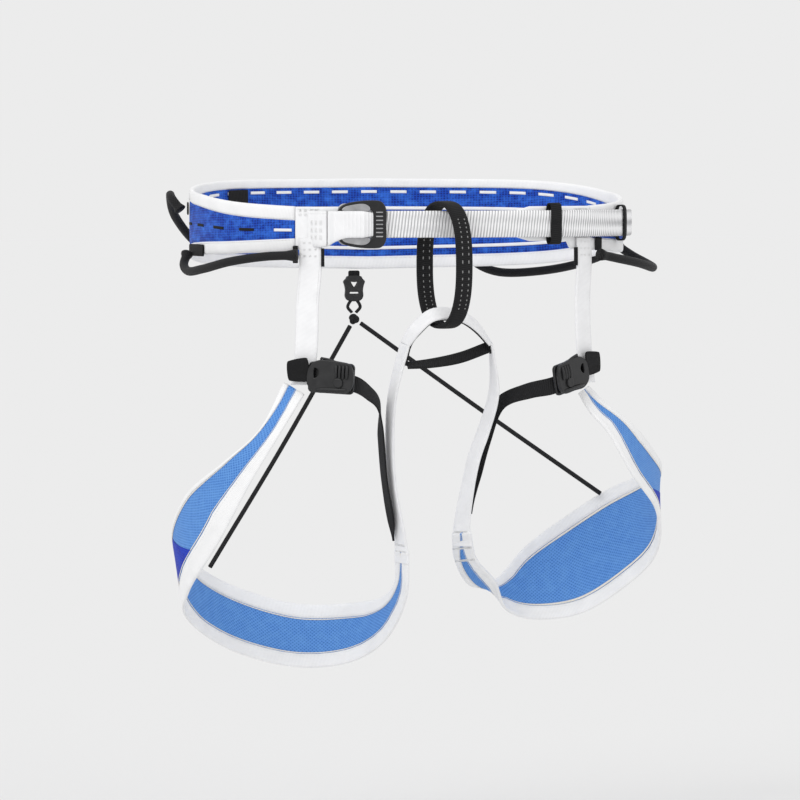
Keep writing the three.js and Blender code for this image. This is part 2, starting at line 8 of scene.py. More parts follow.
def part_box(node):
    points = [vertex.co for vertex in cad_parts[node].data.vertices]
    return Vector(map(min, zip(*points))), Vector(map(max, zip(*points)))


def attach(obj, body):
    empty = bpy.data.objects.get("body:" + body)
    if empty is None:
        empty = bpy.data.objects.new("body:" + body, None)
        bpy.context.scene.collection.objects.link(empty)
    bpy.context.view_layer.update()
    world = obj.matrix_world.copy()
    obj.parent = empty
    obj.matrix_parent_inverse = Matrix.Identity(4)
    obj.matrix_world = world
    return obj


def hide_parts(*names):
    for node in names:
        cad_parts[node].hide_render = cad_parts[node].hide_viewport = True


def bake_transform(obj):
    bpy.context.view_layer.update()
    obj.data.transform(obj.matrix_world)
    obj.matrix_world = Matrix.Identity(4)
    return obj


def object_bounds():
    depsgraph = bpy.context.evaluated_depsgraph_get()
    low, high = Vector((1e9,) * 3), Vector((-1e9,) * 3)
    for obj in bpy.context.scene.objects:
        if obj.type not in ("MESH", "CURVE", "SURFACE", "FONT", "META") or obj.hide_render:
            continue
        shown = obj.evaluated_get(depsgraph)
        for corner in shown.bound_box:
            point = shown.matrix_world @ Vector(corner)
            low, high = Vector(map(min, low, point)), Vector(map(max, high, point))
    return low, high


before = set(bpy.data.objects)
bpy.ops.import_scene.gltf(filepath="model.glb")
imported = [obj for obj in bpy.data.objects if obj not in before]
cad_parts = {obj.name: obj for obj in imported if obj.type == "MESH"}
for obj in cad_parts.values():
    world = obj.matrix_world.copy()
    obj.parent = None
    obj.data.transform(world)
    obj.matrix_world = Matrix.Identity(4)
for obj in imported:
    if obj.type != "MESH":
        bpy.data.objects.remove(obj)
CAD_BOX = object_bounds()
MM = 0.001


# ---------------------------------------------------------------- camera, light and floor
def aim(obj, target):
    obj.rotation_euler = (Vector(target) - obj.location).to_track_quat("-Z", "Y").to_euler()


def make_camera():
    """Far away and almost level, so that the view is nearly flat, and framed a little below the waist."""
    azimuth, elevation, distance, view_width = math.radians(-16), math.radians(2), 6.0, 0.608
    shift_right, shift_up = -0.0038, -0.1338
    back = Vector((math.sin(azimuth) * math.cos(elevation), -math.cos(azimuth) * math.cos(elevation),
                   math.sin(elevation)))
    right = Vector((math.cos(azimuth), math.sin(azimuth), 0))
    target = right * shift_right + back.cross(right) * shift_up
    camera = bpy.data.objects.new("camera", bpy.data.cameras.new("camera"))
    bpy.context.scene.collection.objects.link(camera)
    camera.location = target + back * distance
    camera.data.lens = camera.data.sensor_width * distance / view_width
    aim(camera, target)
    bpy.context.scene.camera = camera


SKY = 0.838
FLOOR_GAP = 0.12
# name, turn from straight ahead, rise above the floor, strength
SOFT_LIGHTS = (("key_light", -55, 38, 0.95), ("fill_light", 25, 20, 0.3))


def add_soft_light(name, turn, rise, strength):
    """A wide soft light, equally bright everywhere."""
    light = bpy.data.objects.new(name, bpy.data.lights.new(name, "SUN"))
    light.data.energy = strength
    light.data.angle = math.radians(40)
    turn, rise = math.radians(turn), math.radians(rise)
    light.location = (math.sin(turn) * math.cos(rise), -math.cos(turn) * math.cos(rise), math.sin(rise))
    bpy.context.scene.collection.objects.link(light)
    aim(light, (0, 0, 0))


def make_studio():
    """A pale sky, and a floor painted so that it comes out as bright as the sky."""
    scene = bpy.context.scene
    scene.view_settings.view_transform = "Standard"
    world = bpy.data.worlds.new("studio")
    world.use_nodes = True
    world.node_tree.nodes["Background"].inputs["Color"].default_value = (SKY, SKY, SKY, 1)
    scene.world = world
    for light in SOFT_LIGHTS:
        add_soft_light(*light)
    downward = [strength * math.sin(math.radians(rise)) for _, _, rise, strength in SOFT_LIGHTS]
    from_lights = sum(downward) / math.pi
    paint = SKY / (SKY + from_lights)
    floor_level = CAD_BOX[0].z - FLOOR_GAP
    reach = 30
    corners = [(-reach, -reach, floor_level), (reach, -reach, floor_level),
               (reach, reach, floor_level), (-reach, reach, floor_level)]
    mesh = bpy.data.meshes.new("floor")
    mesh.from_pydata(corners, [], [(0, 1, 2, 3)])
    floor = bpy.data.objects.new("floor", mesh)
    scene.collection.objects.link(floor)
    floor.data.materials.append(plain_material("floor_paint", (paint, paint, paint), 1.0))


# ---------------------------------------------------------------- materials
def new_material(name):
    material = bpy.data.materials.new(name)
    material.use_nodes = True
    tree = material.node_tree
    return material, tree, tree.nodes["Principled BSDF"]


def set_inputs(node, **values):
    """Sets input sockets by name, with _ for each space."""
    for name, value in values.items():
        node.inputs[name.replace("_", " ")].default_value = value


def add_node(tree, kind, **inputs):
    node = tree.nodes.new(kind)
    set_inputs(node, **inputs)
    return node


def plain_material(name, color, roughness):
    material, _, shader = new_material(name)
    set_inputs(shader, Base_Color=(*color, 1), Roughness=roughness, Specular_IOR_Level=0)
    return material


def fabric_coordinates(tree, turn=0.0, scale=(1, 1, 1)):
    """UV in metres along and across the fabric, turned and scaled."""
    source = tree.nodes.new("ShaderNodeTexCoord")
    mapping = add_node(tree, "ShaderNodeMapping", Rotation=(0, 0, turn), Scale=scale)
    tree.links.new(source.outputs["UV"], mapping.inputs["Vector"])
    return mapping.outputs["Vector"]


def mix_colors(tree, factor, dark, light, start=0.0, end=1.0):
    """Goes from dark to light between two values of the factor."""
    ramp = tree.nodes.new("ShaderNodeValToRGB")
    for element, color, position in zip(ramp.color_ramp.elements, (dark, light), (start, end)):
        element.color = (*color, 1)
        element.position = position
    tree.links.new(factor, ramp.inputs["Fac"])
    return ramp.outputs["Color"]


def add_noise(tree, vector, **inputs):
    noise = add_node(tree, "ShaderNodeTexNoise", **inputs)
    tree.links.new(vector, noise.inputs["Vector"])
    return noise.outputs["Fac"]


def math_node(tree, operation, first, second):
    node = tree.nodes.new("ShaderNodeMath")
    node.operation = operation
    for index, value in enumerate((first, second)):
        if isinstance(value, (int, float)):
            node.inputs[index].default_value = value
        else:
            tree.links.new(value, node.inputs[index])
    return node.outputs[0]


def vary_roughness(tree, shader, pattern, amount, smoothest):
    rough = math_node(tree, "ADD", math_node(tree, "MULTIPLY", pattern, amount), smoothest)
    tree.links.new(rough, shader.inputs["Roughness"])


def add_bump(tree, shader, height, strength, distance):
    bump = add_node(tree, "ShaderNodeBump", Strength=strength, Distance=distance)
    tree.links.new(height, bump.inputs["Height"])
    tree.links.new(bump.outputs["Normal"], shader.inputs["Normal"])


def band_wave(tree, vector, pitch, direction):
    """Bands across X or Y of the coordinates, one band for each pitch in metres."""
    wave = add_node(tree, "ShaderNodeTexWave", Scale=2 * math.pi / (20 * pitch))
    wave.bands_direction = direction
    tree.links.new(vector, wave.inputs["Vector"])
    return wave.outputs["Fac"]


FABRIC_SPECULAR = 0.2
RIB_SLANT = math.radians(7)


def webbing_material(name, dark, light, rib_pitch, thread_pitch, sheen=0.1, bump=0.5, ribs_show=0.55):
    """Woven tape: ribs across it, threads along it, and a little unevenness from wear."""
    material, tree, shader = new_material(name)
    vector = fabric_coordinates(tree, turn=RIB_SLANT)
    ribs = band_wave(tree, vector, rib_pitch, "X")
    threads = band_wave(tree, vector, thread_pitch, "Y")
    wear = add_noise(tree, vector, Scale=70.0, Detail=4.0)
    weave = math_node(tree, "ADD", math_node(tree, "MULTIPLY", ribs, ribs_show),
                      math_node(tree, "MULTIPLY", threads, 0.25 * ribs_show))
    both = math_node(tree, "ADD", weave, math_node(tree, "MULTIPLY", wear, 0.9 - ribs_show))
    tree.links.new(mix_colors(tree, both, dark, light, 0.12, 0.72), shader.inputs["Base Color"])
    vary_roughness(tree, shader, wear, 0.15, 0.72)
    set_inputs(shader, Specular_IOR_Level=FABRIC_SPECULAR, Sheen_Weight=sheen, Sheen_Roughness=0.5)
    add_bump(tree, shader, weave, bump, 0.4 * MM)
    return material


def mesh_fabric_material(name, hole, thread, highlight, cell, turn, clouds=0.7):
    """Open knitted mesh: a grid of small dark holes between brighter threads, with cloudy patches."""
    material, tree, shader = new_material(name)
    vector = fabric_coordinates(tree, turn=turn, scale=(1, 1.25, 1))
    cells = add_node(tree, "ShaderNodeTexVoronoi", Scale=1 / cell, Randomness=0.12)
    cells.voronoi_dimensions = "2D"
    tree.links.new(vector, cells.inputs["Vector"])
    knit = mix_colors(tree, cells.outputs["Distance"], hole, thread, 0.2, 0.42)
    patchy = add_noise(tree, vector, Scale=110.0, Detail=4.0, Roughness=0.65)
    cloudy = add_node(tree, "ShaderNodeMapRange", From_Min=0.42, From_Max=0.68, To_Max=clouds)
    tree.links.new(patchy, cloudy.inputs["Value"])
    blend = tree.nodes.new("ShaderNodeMix")
    blend.data_type = "RGBA"
    tree.links.new(cloudy.outputs["Result"], blend.inputs["Factor"])
    tree.links.new(knit, blend.inputs["A"])
    blend.inputs["B"].default_value = (*highlight, 1)
    tree.links.new(blend.outputs["Result"], shader.inputs["Base Color"])
    vary_roughness(tree, shader, patchy, 0.2, 0.6)
    set_inputs(shader, Specular_IOR_Level=FABRIC_SPECULAR, Sheen_Weight=0.05)
    add_bump(tree, shader, cells.outputs["Distance"], 0.6, 0.5 * MM)
    return material


def moulded_material(name, dark, light, roughness, metallic=0.0, coat=0.0):
    """Moulded plastic or anodised metal with a fine grain and faint scuffs."""
    material, tree, shader = new_material(name)
    vector = tree.nodes.new("ShaderNodeTexCoord").outputs["Object"]
    grain = add_noise(tree, vector, Scale=900.0, Detail=5.0)
    scuffs = add_noise(tree, vector, Scale=120.0, Detail=6.0, Distortion=0.6)
    tree.links.new(mix_colors(tree, scuffs, dark, light, 0.35, 0.75), shader.inputs["Base Color"])
    vary_roughness(tree, shader, scuffs, 0.25, roughness - 0.12)
    set_inputs(shader, Metallic=metallic, Coat_Weight=coat)
    add_bump(tree, shader, grain, 0.15, 0.3 * MM)
    return material


def braid_material(name, dark, light, pitch):
    """Braided sheath: two crossing sets of strands."""
    material, tree, shader = new_material(name)
    directions = [fabric_coordinates(tree, turn=math.radians(turn)) for turn in (45, -45)]
    strands = [band_wave(tree, direction, pitch, "X") for direction in directions]
    braid = math_node(tree, "MAXIMUM", *strands)
    tree.links.new(mix_colors(tree, braid, dark, light), shader.inputs["Base Color"])
    set_inputs(shader, Roughness=0.75, Specular_IOR_Level=FABRIC_SPECULAR, Sheen_Weight=0.05)
    add_bump(tree, shader, braid, 0.5, 0.3 * MM)
    return material


def grey(value):
    return value, value, value


RIB_PITCH = 2.35 * MM
THREAD_WEAVE = 0.6 * MM, 0.4 * MM
LEG_KNIT = 2.2 * MM, math.radians(45)
HARD_BLACK = (0.004, 0.004, 0.005), (0.014, 0.014, 0.015)
LOOKS = {
    "white_webbing": webbing_material("white_ribbed_webbing", (0.42, 0.42, 0.43), (0.93, 0.93, 0.94),
                                      RIB_PITCH, 0.9 * MM, ribs_show=0.8),
    "white_binding": webbing_material("white_binding_tape", (0.76, 0.76, 0.765), (0.92, 0.92, 0.925),
                                      1.1 * MM, 1.1 * MM, bump=0.35, ribs_show=0.35),
    "smooth_white": webbing_material("white_smooth_webbing", (0.74, 0.74, 0.75), (0.93, 0.93, 0.94),
                                     0.9 * MM, 0.9 * MM, bump=0.3, ribs_show=0.35),
    "black_webbing": webbing_material("black_webbing", (0.004, 0.004, 0.0045), (0.016, 0.016, 0.017),
                                      1.5 * MM, 0.8 * MM, sheen=0.02, bump=0.7),
    "belt_mesh": mesh_fabric_material("royal_blue_mesh", (0.002, 0.010, 0.13), (0.007, 0.060, 0.44),
                                      (0.045, 0.20, 0.80), 2.3 * MM, 0.0),
    "leg_mesh": mesh_fabric_material("light_blue_mesh", (0.05, 0.17, 0.50), (0.115, 0.30, 0.70),
                                     (0.16, 0.38, 0.76), *LEG_KNIT, clouds=0.3),
    "deep_blue": mesh_fabric_material("deep_blue_print", (0.002, 0.012, 0.25), (0.004, 0.03, 0.45),
                                      (0.006, 0.05, 0.55), *LEG_KNIT),
    "cream_seam": webbing_material("cream_seam_thread", (0.66, 0.60, 0.52), (0.90, 0.87, 0.80),
                                   1.2 * MM, 0.6 * MM),
    "grey_thread": webbing_material("grey_thread", grey(0.16), grey(0.36), *THREAD_WEAVE),
    "white_thread": webbing_material("white_thread", grey(0.72), grey(0.9), *THREAD_WEAVE),
    "black_plastic": moulded_material("black_plastic", *HARD_BLACK, 0.42),
    "tube": braid_material("gear_loop_sheath", (0.005, 0.005, 0.0055), (0.018, 0.018, 0.019), 1.6 * MM),
    "cord": braid_material("braided_cord", (0.004, 0.004, 0.0045), (0.018, 0.018, 0.019), 1.2 * MM),
    "black_metal": moulded_material("black_anodised", *HARD_BLACK, 0.34, metallic=0.2, coat=0.1),
    "grey_metal": moulded_material("grey_anodised", (0.34, 0.34, 0.35), (0.52, 0.52, 0.53), 0.34,
                                   metallic=0.9),
}


# ---------------------------------------------------------------- curves and meshes
def centripetal(points):
    """Centripetal Catmull-Rom curve through points, as a function of 0..1."""
    points = [Vector(p) for p in points]
    ends = [2 * points[0] - points[1], *points, 2 * points[-1] - points[-2]]

    def at(t):
        place = min(max(t, 0.0), 1.0) * (len(points) - 1)
        segment = min(int(place), len(points) - 2)
        w = place - segment
        a, b, c, d = ends[segment:segment + 4]
        ab, bc, cd = (max((q - p).length ** 0.5, 1e-6) for p, q in ((a, b), (b, c), (c, d)))
        leave = ((b - a) / ab - (c - a) / (ab + bc) + (c - b) / bc) * bc
        arrive = ((c - b) / bc - (d - b) / (bc + cd) + (d - c) / cd) * bc
        return (b + leave * w + (3 * (c - b) - 2 * leave - arrive) * w ** 2
                + (2 * (b - c) + leave + arrive) * w ** 3)
    return at


def mm(points):
    return [Vector(p) * MM for p in points]


def softened(value, power):
    return math.copysign(abs(value) ** power, value)


def link_mesh(name, vertices, faces, uvs, look):
    """uvs holds one (u, v) for each vertex, in metres."""
    mesh = bpy.data.meshes.new(name)
    mesh.from_pydata([tuple(v) for v in vertices], [], faces)
    layer = mesh.uv_layers.new(name="fabric")
    for loop in mesh.loops:
        layer.data[loop.index].uv = uvs[loop.vertex_index]
    mesh.polygons.foreach_set("use_smooth", [True] * len(mesh.polygons))
    mesh.materials.append(LOOKS[look])
    obj = bpy.data.objects.new(name, mesh)
    bpy.context.scene.collection.objects.link(obj)
    return obj


def place(obj, body, slot, nodes=()):
    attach(obj, body)
    finish_piece(obj, slot, nodes)


def finish_piece(obj, slot, nodes=()):
    if nodes:
        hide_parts(*nodes)


class Strap:
    """A band between two edge curves. Its outside is on the left of its width."""

    def __init__(self, lower, upper, thickness, lift=0.0, closed=False):
        self.lower, self.upper = lower, upper
        self.thickness, self.lift, self.closed = thickness, lift, closed

    def frame(self, t):
        step = 0.002
        before, beyond = (t - step, t + step) if self.closed else (max(t - step, 0), min(t + step, 1))
        travel = self.lower(beyond) + self.upper(beyond) - self.lower(before) - self.upper(before)
        lower, upper = self.lower(t), self.upper(t)
        travel = travel.normalized()
        width = (upper - lower).normalized()
        outward = travel.cross(width).normalized()
        return lower, upper, travel, width, outward

    def point(self, t, v, height):
        lower, upper, _, _, outward = self.frame(t)
        return lower.lerp(upper, v) + outward * (self.lift + height)

    def length(self, samples=80):
        points = [self.point(i / samples, 0.5, 0) for i in range(samples + 1)]
        return sum((q - p).length for p, q in zip(points, points[1:]))

    def part(self, v_from, v_to, thickness=None, lift=0.0):
        """A narrower strap that runs along this one, between two shares of its width."""
        thickness = self.thickness if thickness is None else thickness
        lower = lambda t: self.lower(t).lerp(self.upper(t), v_from)
        upper = lambda t: self.lower(t).lerp(self.upper(t), v_to)
        return Strap(lower, upper, thickness, self.lift + lift, self.closed)

    def build(self, name, look, steps, across=8, edge=6.0, start=0.0, end=1.0, relief=None, taper=None):
        """edge is high for a flat tape and near 2 for a round, filled one. relief adds height at
        (distance along, share across). taper gives the share of the width kept at t."""
        half = self.thickness / 2
        shares = [0.5 - 0.5 * math.cos(math.pi * i / across) for i in range(across + 1)]
        section = [(v, 1) for v in shares] + [(v, -1) for v in reversed(shares)][1:-1]
        rings = steps if self.closed else steps + 1
        vertices, uvs = [], []
        travelled, last = 0.0, None
        for i in range(rings):
            t = start + (end - start) * i / steps
            lower, upper, _, _, outward = self.frame(t)
            middle = (lower + upper) / 2
            travelled += (middle - last).length if last is not None else 0
            last = middle
            kept = taper(t) if taper else 1.0
            for v, side in section:
                bulge = max(0.0, 1 - abs(2 * v - 1) ** edge) ** (1 / edge)
                height = half * bulge + (relief(travelled, v) * bulge if relief else 0.0)
                across_point = lower.lerp(upper, 0.5 + (v - 0.5) * kept)
                vertices.append(across_point + outward * (self.lift + side * height))
                uvs.append((travelled, v * (upper - lower).length))
        count = len(section)
        faces = []
        for i in range(rings if self.closed else rings - 1):
            here, beyond = i * count, (i + 1) % rings * count
            for j in range(count):
                after = (j + 1) % count
                faces.append((here + j, here + after, beyond + after, beyond + j))
        if not self.closed:
            faces.append(tuple(reversed(range(count))))
            faces.append(tuple((rings - 1) * count + j for j in range(count)))
        return link_mesh(name, vertices, faces, uvs, look)


TUCK = 1 * MM


def tucked(strap):
    """The same strap, but reaching a little way under the bands on both sides of it."""
    edge = lambda near, far: lambda t: near(t) + (near(t) - far(t)).normalized() * TUCK
    return Strap(edge(strap.lower, strap.upper), edge(strap.upper, strap.lower), strap.thickness, strap.lift)


def strap_along(stations, width, thickness, lift=0.0):
    centre = centripetal(mm(at for at, _ in stations))
    across = centripetal([direction for _, direction in stations])
    edge = lambda side: lambda t: centre(t) + across(t).normalized() * (side * width / 2)
    return Strap(edge(-1), edge(1), thickness, lift)


def tube(name, curve, radius, look, sides=14, steps=90, swell=None):
    """A round tube along a curve. swell multiplies the radius at t."""
    vertices, uvs, faces = [], [], []
    travelled, last = 0.0, None
    side_way = None
    for i in range(steps + 1):
        t = i / steps
        here = curve(t)
        travel = (curve(min(t + 0.002, 1)) - curve(max(t - 0.002, 0))).normalized()
        side_way = travel.orthogonal() if side_way is None else side_way
        side_way = (side_way - travel * side_way.dot(travel)).normalized()
        other = travel.cross(side_way)
        travelled += (here - last).length if last is not None else 0
        last = here
        size = radius * (swell(t) if swell else 1.0)
        for j in range(sides):
            angle = 2 * math.pi * j / sides
            vertices.append(here + side_way * (size * math.cos(angle)) + other * (size * math.sin(angle)))
            uvs.append((travelled, angle * radius))
    for i in range(steps):
        for j in range(sides):
            after = (j + 1) % sides
            faces.append((i * sides + j, i * sides + after, (i + 1) * sides + after, (i + 1) * sides + j))
    faces.append(tuple(reversed(range(sides))))
    faces.append(tuple(steps * sides + j for j in range(sides)))
    return link_mesh(name, vertices, faces, uvs, look)


FINE_STITCH = {"pitch": 2.0 * MM, "width": 0.35 * MM}


class Stitching:
    """Many small raised threads, gathered into one mesh."""

    def __init__(self):
        self.vertices, self.faces, self.uvs = [], [], []

    def add(self, start, end, normal, width, height):
        along = (end - start).normalized()
        side = normal.cross(along).normalized()
        first = len(self.vertices)
        sides = 6
        profile = [(0.0, 0.35), (0.2, 0.9), (0.5, 1.0), (0.8, 0.9), (1.0, 0.35)]
        for share, size in profile:
            centre = start.lerp(end, share)
            for j in range(sides):
                angle = 2 * math.pi * j / sides
                self.vertices.append(centre + side * (math.cos(angle) * width / 2 * size)
                                     + normal * (math.sin(angle) * height * size))
                self.uvs.append((share * (end - start).length, angle * width / 2))
        for i in range(len(profile) - 1):
            for j in range(sides):
                after = (j + 1) % sides
                row = first + i * sides
                self.faces.append((row + j, row + after, row + sides + after, row + sides + j))
        self.faces.append(tuple(first + j for j in reversed(range(sides))))
        last = first + (len(profile) - 1) * sides
        self.faces.append(tuple(last + j for j in range(sides)))

    def run(self, strap, v, start=0.0, end=1.0, pitch=2.6 * MM, share=0.7, width=0.6 * MM, side=1, rise=0.0):
        """One row of stitches along a strap, at a share of its width, on its outside or inside."""
        count = max(2, int(strap.length() * (end - start) / pitch))
        height = side * (strap.thickness / 2 + rise)
        for i in range(count):
            t0 = start + (end - start) * i / count
            t1 = t0 + (end - start) * share / count
            normal = strap.frame(t0)[4] * side
            self.add(strap.point(t0, v, height), strap.point(t1, v, height), normal, width, 0.3 * MM)

    def bartack(self, strap, t, v_from, v_to, rows=7, depth=2.6 * MM, side=1, rise=0.0):
        """A dense block of stitches across a strap."""
        length = strap.length()
        height = side * (strap.thickness / 2 + rise)
        for i in range(rows):
            here = t + (i / (rows - 1) - 0.5) * depth / length
            normal = strap.frame(here)[4] * side
            self.add(strap.point(here, v_from, height), strap.point(here, v_to, height), normal,
                     0.7 * depth / rows, 0.35 * MM)

    def tacks(self, strap, places, shares, size, depth):
        """Small blocks of stitches at each place along a strap and each share of its width."""
        for t in places:
            for v in shares:
                self.bartack(strap, t, v, v + size, rows=4, depth=depth)

    def finish(self, name, look, body, slot):
        piece = link_mesh(name, self.vertices, self.faces, self.uvs, look)
        place(piece, body, slot)
        return piece


def rounded_rectangle(x, z, width, height, radius):
    points = []
    for corner in range(4):
        centre_x = x + (width / 2 - radius) * (1 if corner in (0, 3) else -1)
        centre_z = z + (height / 2 - radius) * (1 if corner in (0, 1) else -1)
        for i in range(7):
            angle = math.radians(90 * corner + 15 * i)
            points.append((centre_x + radius * math.cos(angle), centre_z + radius * math.sin(angle)))
    return points


def shaped_plate(name, outlines, thickness, look, bevel):
    """A flat plate in the XZ plane. The first outline is its edge and the others are its windows.
    Its outside faces -Y."""
    curve = bpy.data.curves.new(name, "CURVE")
    curve.dimensions = "2D"
    curve.fill_mode = "BOTH"
    curve.extrude = thickness / 2 - bevel
    curve.bevel_depth = bevel
    curve.bevel_resolution = 2
    for points in outlines:
        spline = curve.splines.new("POLY")
        spline.use_cyclic_u = True
        spline.points.add(len(points) - 1)
        for target, (x, z) in zip(spline.points, points):
            target.co = (x, z, 0, 1)
    source = bpy.data.objects.new(name + "_outline", curve)
    bpy.context.scene.collection.objects.link(source)
    bpy.context.view_layer.update()
    mesh = bpy.data.meshes.new_from_object(source.evaluated_get(bpy.context.evaluated_depsgraph_get()))
    bpy.data.objects.remove(source)
    mesh.transform(Matrix.Rotation(math.radians(90), 4, "X"))
    mesh.materials.clear()
    mesh.materials.append(LOOKS[look])
    obj = bpy.data.objects.new(name, mesh)
    bpy.context.scene.collection.objects.link(obj)
    return obj


def plate(name, width, height, thickness, radius, holes, look, bevel=0.5 * MM):
    """A rounded rectangular plate with rounded windows, each (x, z, width, height)."""
    outlines = [rounded_rectangle(0, 0, width - 2 * bevel, height - 2 * bevel, radius)]
    for x, z, wide, high in holes:
        outlines.append(rounded_rectangle(x, z, wide + 2 * bevel, high + 2 * bevel, min(wide, high) * 0.3))
    return shaped_plate(name, outlines, thickness, look, bevel)


def smooth_outline(points):
    """A closed outline in mm, rounded through its points."""
    around = [Vector((x, 0, z)) for x, z in points]
    curve = centripetal([around[-1], *around, around[0], around[1]])
    count = len(around)
    steps = count * 6
    at = [curve((1 + count * i / steps) / (count + 2)) for i in range(steps)]
    return [(p.x * MM, p.z * MM) for p in at]


# ---------------------------------------------------------------- waist outline
PAD_THICKNESS = 4 * MM
WAIST_HALF_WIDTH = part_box("waist_mesh_panel")[1].x - PAD_THICKNESS / 2
WAIST_BACK_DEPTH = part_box("waist_mesh_panel")[1].y - PAD_THICKNESS / 2
WAIST_FRONT_DEPTH = WAIST_BACK_DEPTH + 26 * MM
WAIST_POWER = 2 / 2.4
TOP_BAND_FRONT, TOP_BAND_BACK, BOTTOM_BAND = 11 * MM, 7 * MM, 10 * MM
PATCH_ANGLE, PATCH_HALF_ANGLE = 36, 4.4
WEBBING_MIDDLE, WEBBING_WIDTH, WEBBING_THICKNESS = 1.5 * MM, 20 * MM, 1.4 * MM
BASE_OFFSET, TAIL_OFFSET = 5.2 * MM, 7.6 * MM
BUCKLE_ANGLE, TAIL_END_ANGLE = -20, 72


def waist_point(degrees, z, outward=0.0):
    """Angle 0 is the middle of the front, 90 the wearer's left, 180 the middle of the back."""
    sin, cos = math.sin(math.radians(degrees)), math.cos(math.radians(degrees))
    depth = WAIST_FRONT_DEPTH if cos > 0 else WAIST_BACK_DEPTH
    return Vector(((WAIST_HALF_WIDTH + outward) * softened(sin, WAIST_POWER),
                   -(depth + outward) * softened(cos, WAIST_POWER), z))


BELT_BOTTOM = [(35, -18), (65, -21), (90, -23), (130, -32), (180, -36)]
BELT_TOP = [(35, 14), (65, 18), (90, 24), (130, 32), (180, 34)]


def belt_level(profile):
    curve = centripetal([(angle, 0, level) for angle, level in profile])
    table = [curve(i / 400) for i in range(401)]

    def level(degrees):
        from_front = 360 - degrees if degrees > 180 else degrees
        after = next((i for i, p in enumerate(table) if p.x >= from_front), len(table) - 1)
        after = max(after, 1)
        low, high = table[after - 1], table[after]
        share = min(max((from_front - low.x) / max(high.x - low.x, 1e-9), 0), 1)
        return (low.z + (high.z - low.z) * share) * MM
    return level


belt_bottom, belt_top = belt_level(BELT_BOTTOM), belt_level(BELT_TOP)


def waist_band(start, end, bottom, top, thickness, outward=0.0, lift=0.0):
    """A band round the waist. outward is a distance, or gives the distance at an angle."""
    reach = outward if callable(outward) else lambda degrees: outward
    angle = lambda t: start + (end - start) * t
    lower = lambda t: waist_point(angle(t), bottom(angle(t)), reach(angle(t)))
    upper = lambda t: waist_point(angle(t), top(angle(t)), reach(angle(t)))
    return Strap(lower, upper, thickness, lift)


# ---------------------------------------------------------------- cords
CLIP = Vector((-12, 101, -38)) * MM
CORD_RADIUS = 1.75 * MM
CORD_ROUTES = {
    "right": [(-15.4, 100, -80), (-75, 79, -171), (-138.5, 57, -262)],
    "left": [(-7.2, 99, -77.8), (74, 50, -143), (155.5, -1, -207)],
}


def path_length(points):
    return sum((q - p).length for p, q in zip(points, points[1:]))


def make_elastic_cords():
    for side, route in CORD_ROUTES.items():
        curve = centripetal(mm(route))
        path = [curve(i / 24) for i in range(25)]
        cord = tube(f"{side}_leg_elastic", curve, CORD_RADIUS, "cord", sides=12, steps=90)
        finish_piece(cord, "black_cord", [f"{side}_elastic_cord"])
        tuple(path[0])
        path_length(path)
        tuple(path[0])
        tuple(path[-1])
        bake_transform(cord)


# ---------------------------------------------------------------- waist belt
PAD_FROM = PATCH_ANGLE + PATCH_HALF_ANGLE + 0.3
PAD_TO = 360 - PAD_FROM
BAND_THICKNESS = PAD_THICKNESS + 0.6 * MM
BELT_STEPS = 260


def bottom_seam(degrees):
    return belt_bottom(degrees) + BOTTOM_BAND


def top_seam(degrees):
    """The upper band is widest at the front of the belt."""
    towards_back = smooth_step((180 - abs(180 - degrees % 360) - 50) / 90)
    return belt_top(degrees) - TOP_BAND_FRONT - (TOP_BAND_BACK - TOP_BAND_FRONT) * towards_back


def make_waist_pad():
    pad = waist_band(PAD_FROM, PAD_TO, bottom_seam, top_seam, PAD_THICKNESS)
    piece = tucked(pad).build("waist_pad_mesh", "belt_mesh", BELT_STEPS, across=10, edge=5)
    place(piece, "belt", "belt_mesh", ["waist_mesh_panel"])
    lower = waist_band(PAD_FROM, PAD_TO, belt_bottom, bottom_seam, BAND_THICKNESS)
    upper = waist_band(PAD_FROM, PAD_TO, top_seam, belt_top, BAND_THICKNESS)
    place(lower.build("waist_band_lower", "white_binding", BELT_STEPS, edge=3.2), "belt", "white_binding",
          ["waist_lower_binding"])
    place(upper.build("waist_band_upper", "white_binding", BELT_STEPS, edge=3.2), "belt", "white_binding",
          ["waist_upper_binding"])
    stitches = Stitching()
    for band, v in ((lower, 0.85), (upper, 0.15)):
        for side in (1, -1):
            stitches.run(band, v, side=side, rise=-0.1 * MM)
    stitches.finish("waist_band_stitching", "white_thread", "belt", "white_binding")


def make_inner_tapes():
    lift = -(PAD_THICKNESS / 2 + 0.7 * MM)
    levels = {"upper": lambda d: top_seam(d) - 17 * MM, "lower": lambda d: bottom_seam(d) + 5 * MM}
    for place_name, low in levels.items():
        tape = waist_band(95, 265, low, lambda d, low=low: low(d) + 2.5 * MM, 0.8 * MM, lift=lift)
        piece = tape.build(f"inner_tape_{place_name}", "smooth_white", 160, across=4, edge=3)
        place(piece, "belt", "white_binding", [f"inner_seam_tape_{place_name}"])
    label = waist_band(215, 224, lambda d: top_seam(d) - 13 * MM, lambda d: top_seam(d) - 0.5 * MM, 0.8 * MM,
                       lift=-(PAD_THICKNESS / 2 + 1.2 * MM))
    place(label.build("inner_label", "black_webbing", 12, across=6), "belt", "black_webbing",
          ["blank_inner_label"])


def belt_distances():
    """The distance along the belt at each tenth of a degree, from the middle of the front."""
    distances, last = [0.0], waist_point(0, 0)
    for i in range(1, 3601):
        here = waist_point(i / 10, 0)
        distances.append(distances[-1] + (here - last).length)
        last = here
    return distances


SLOT_HEIGHT = 2.2 * MM


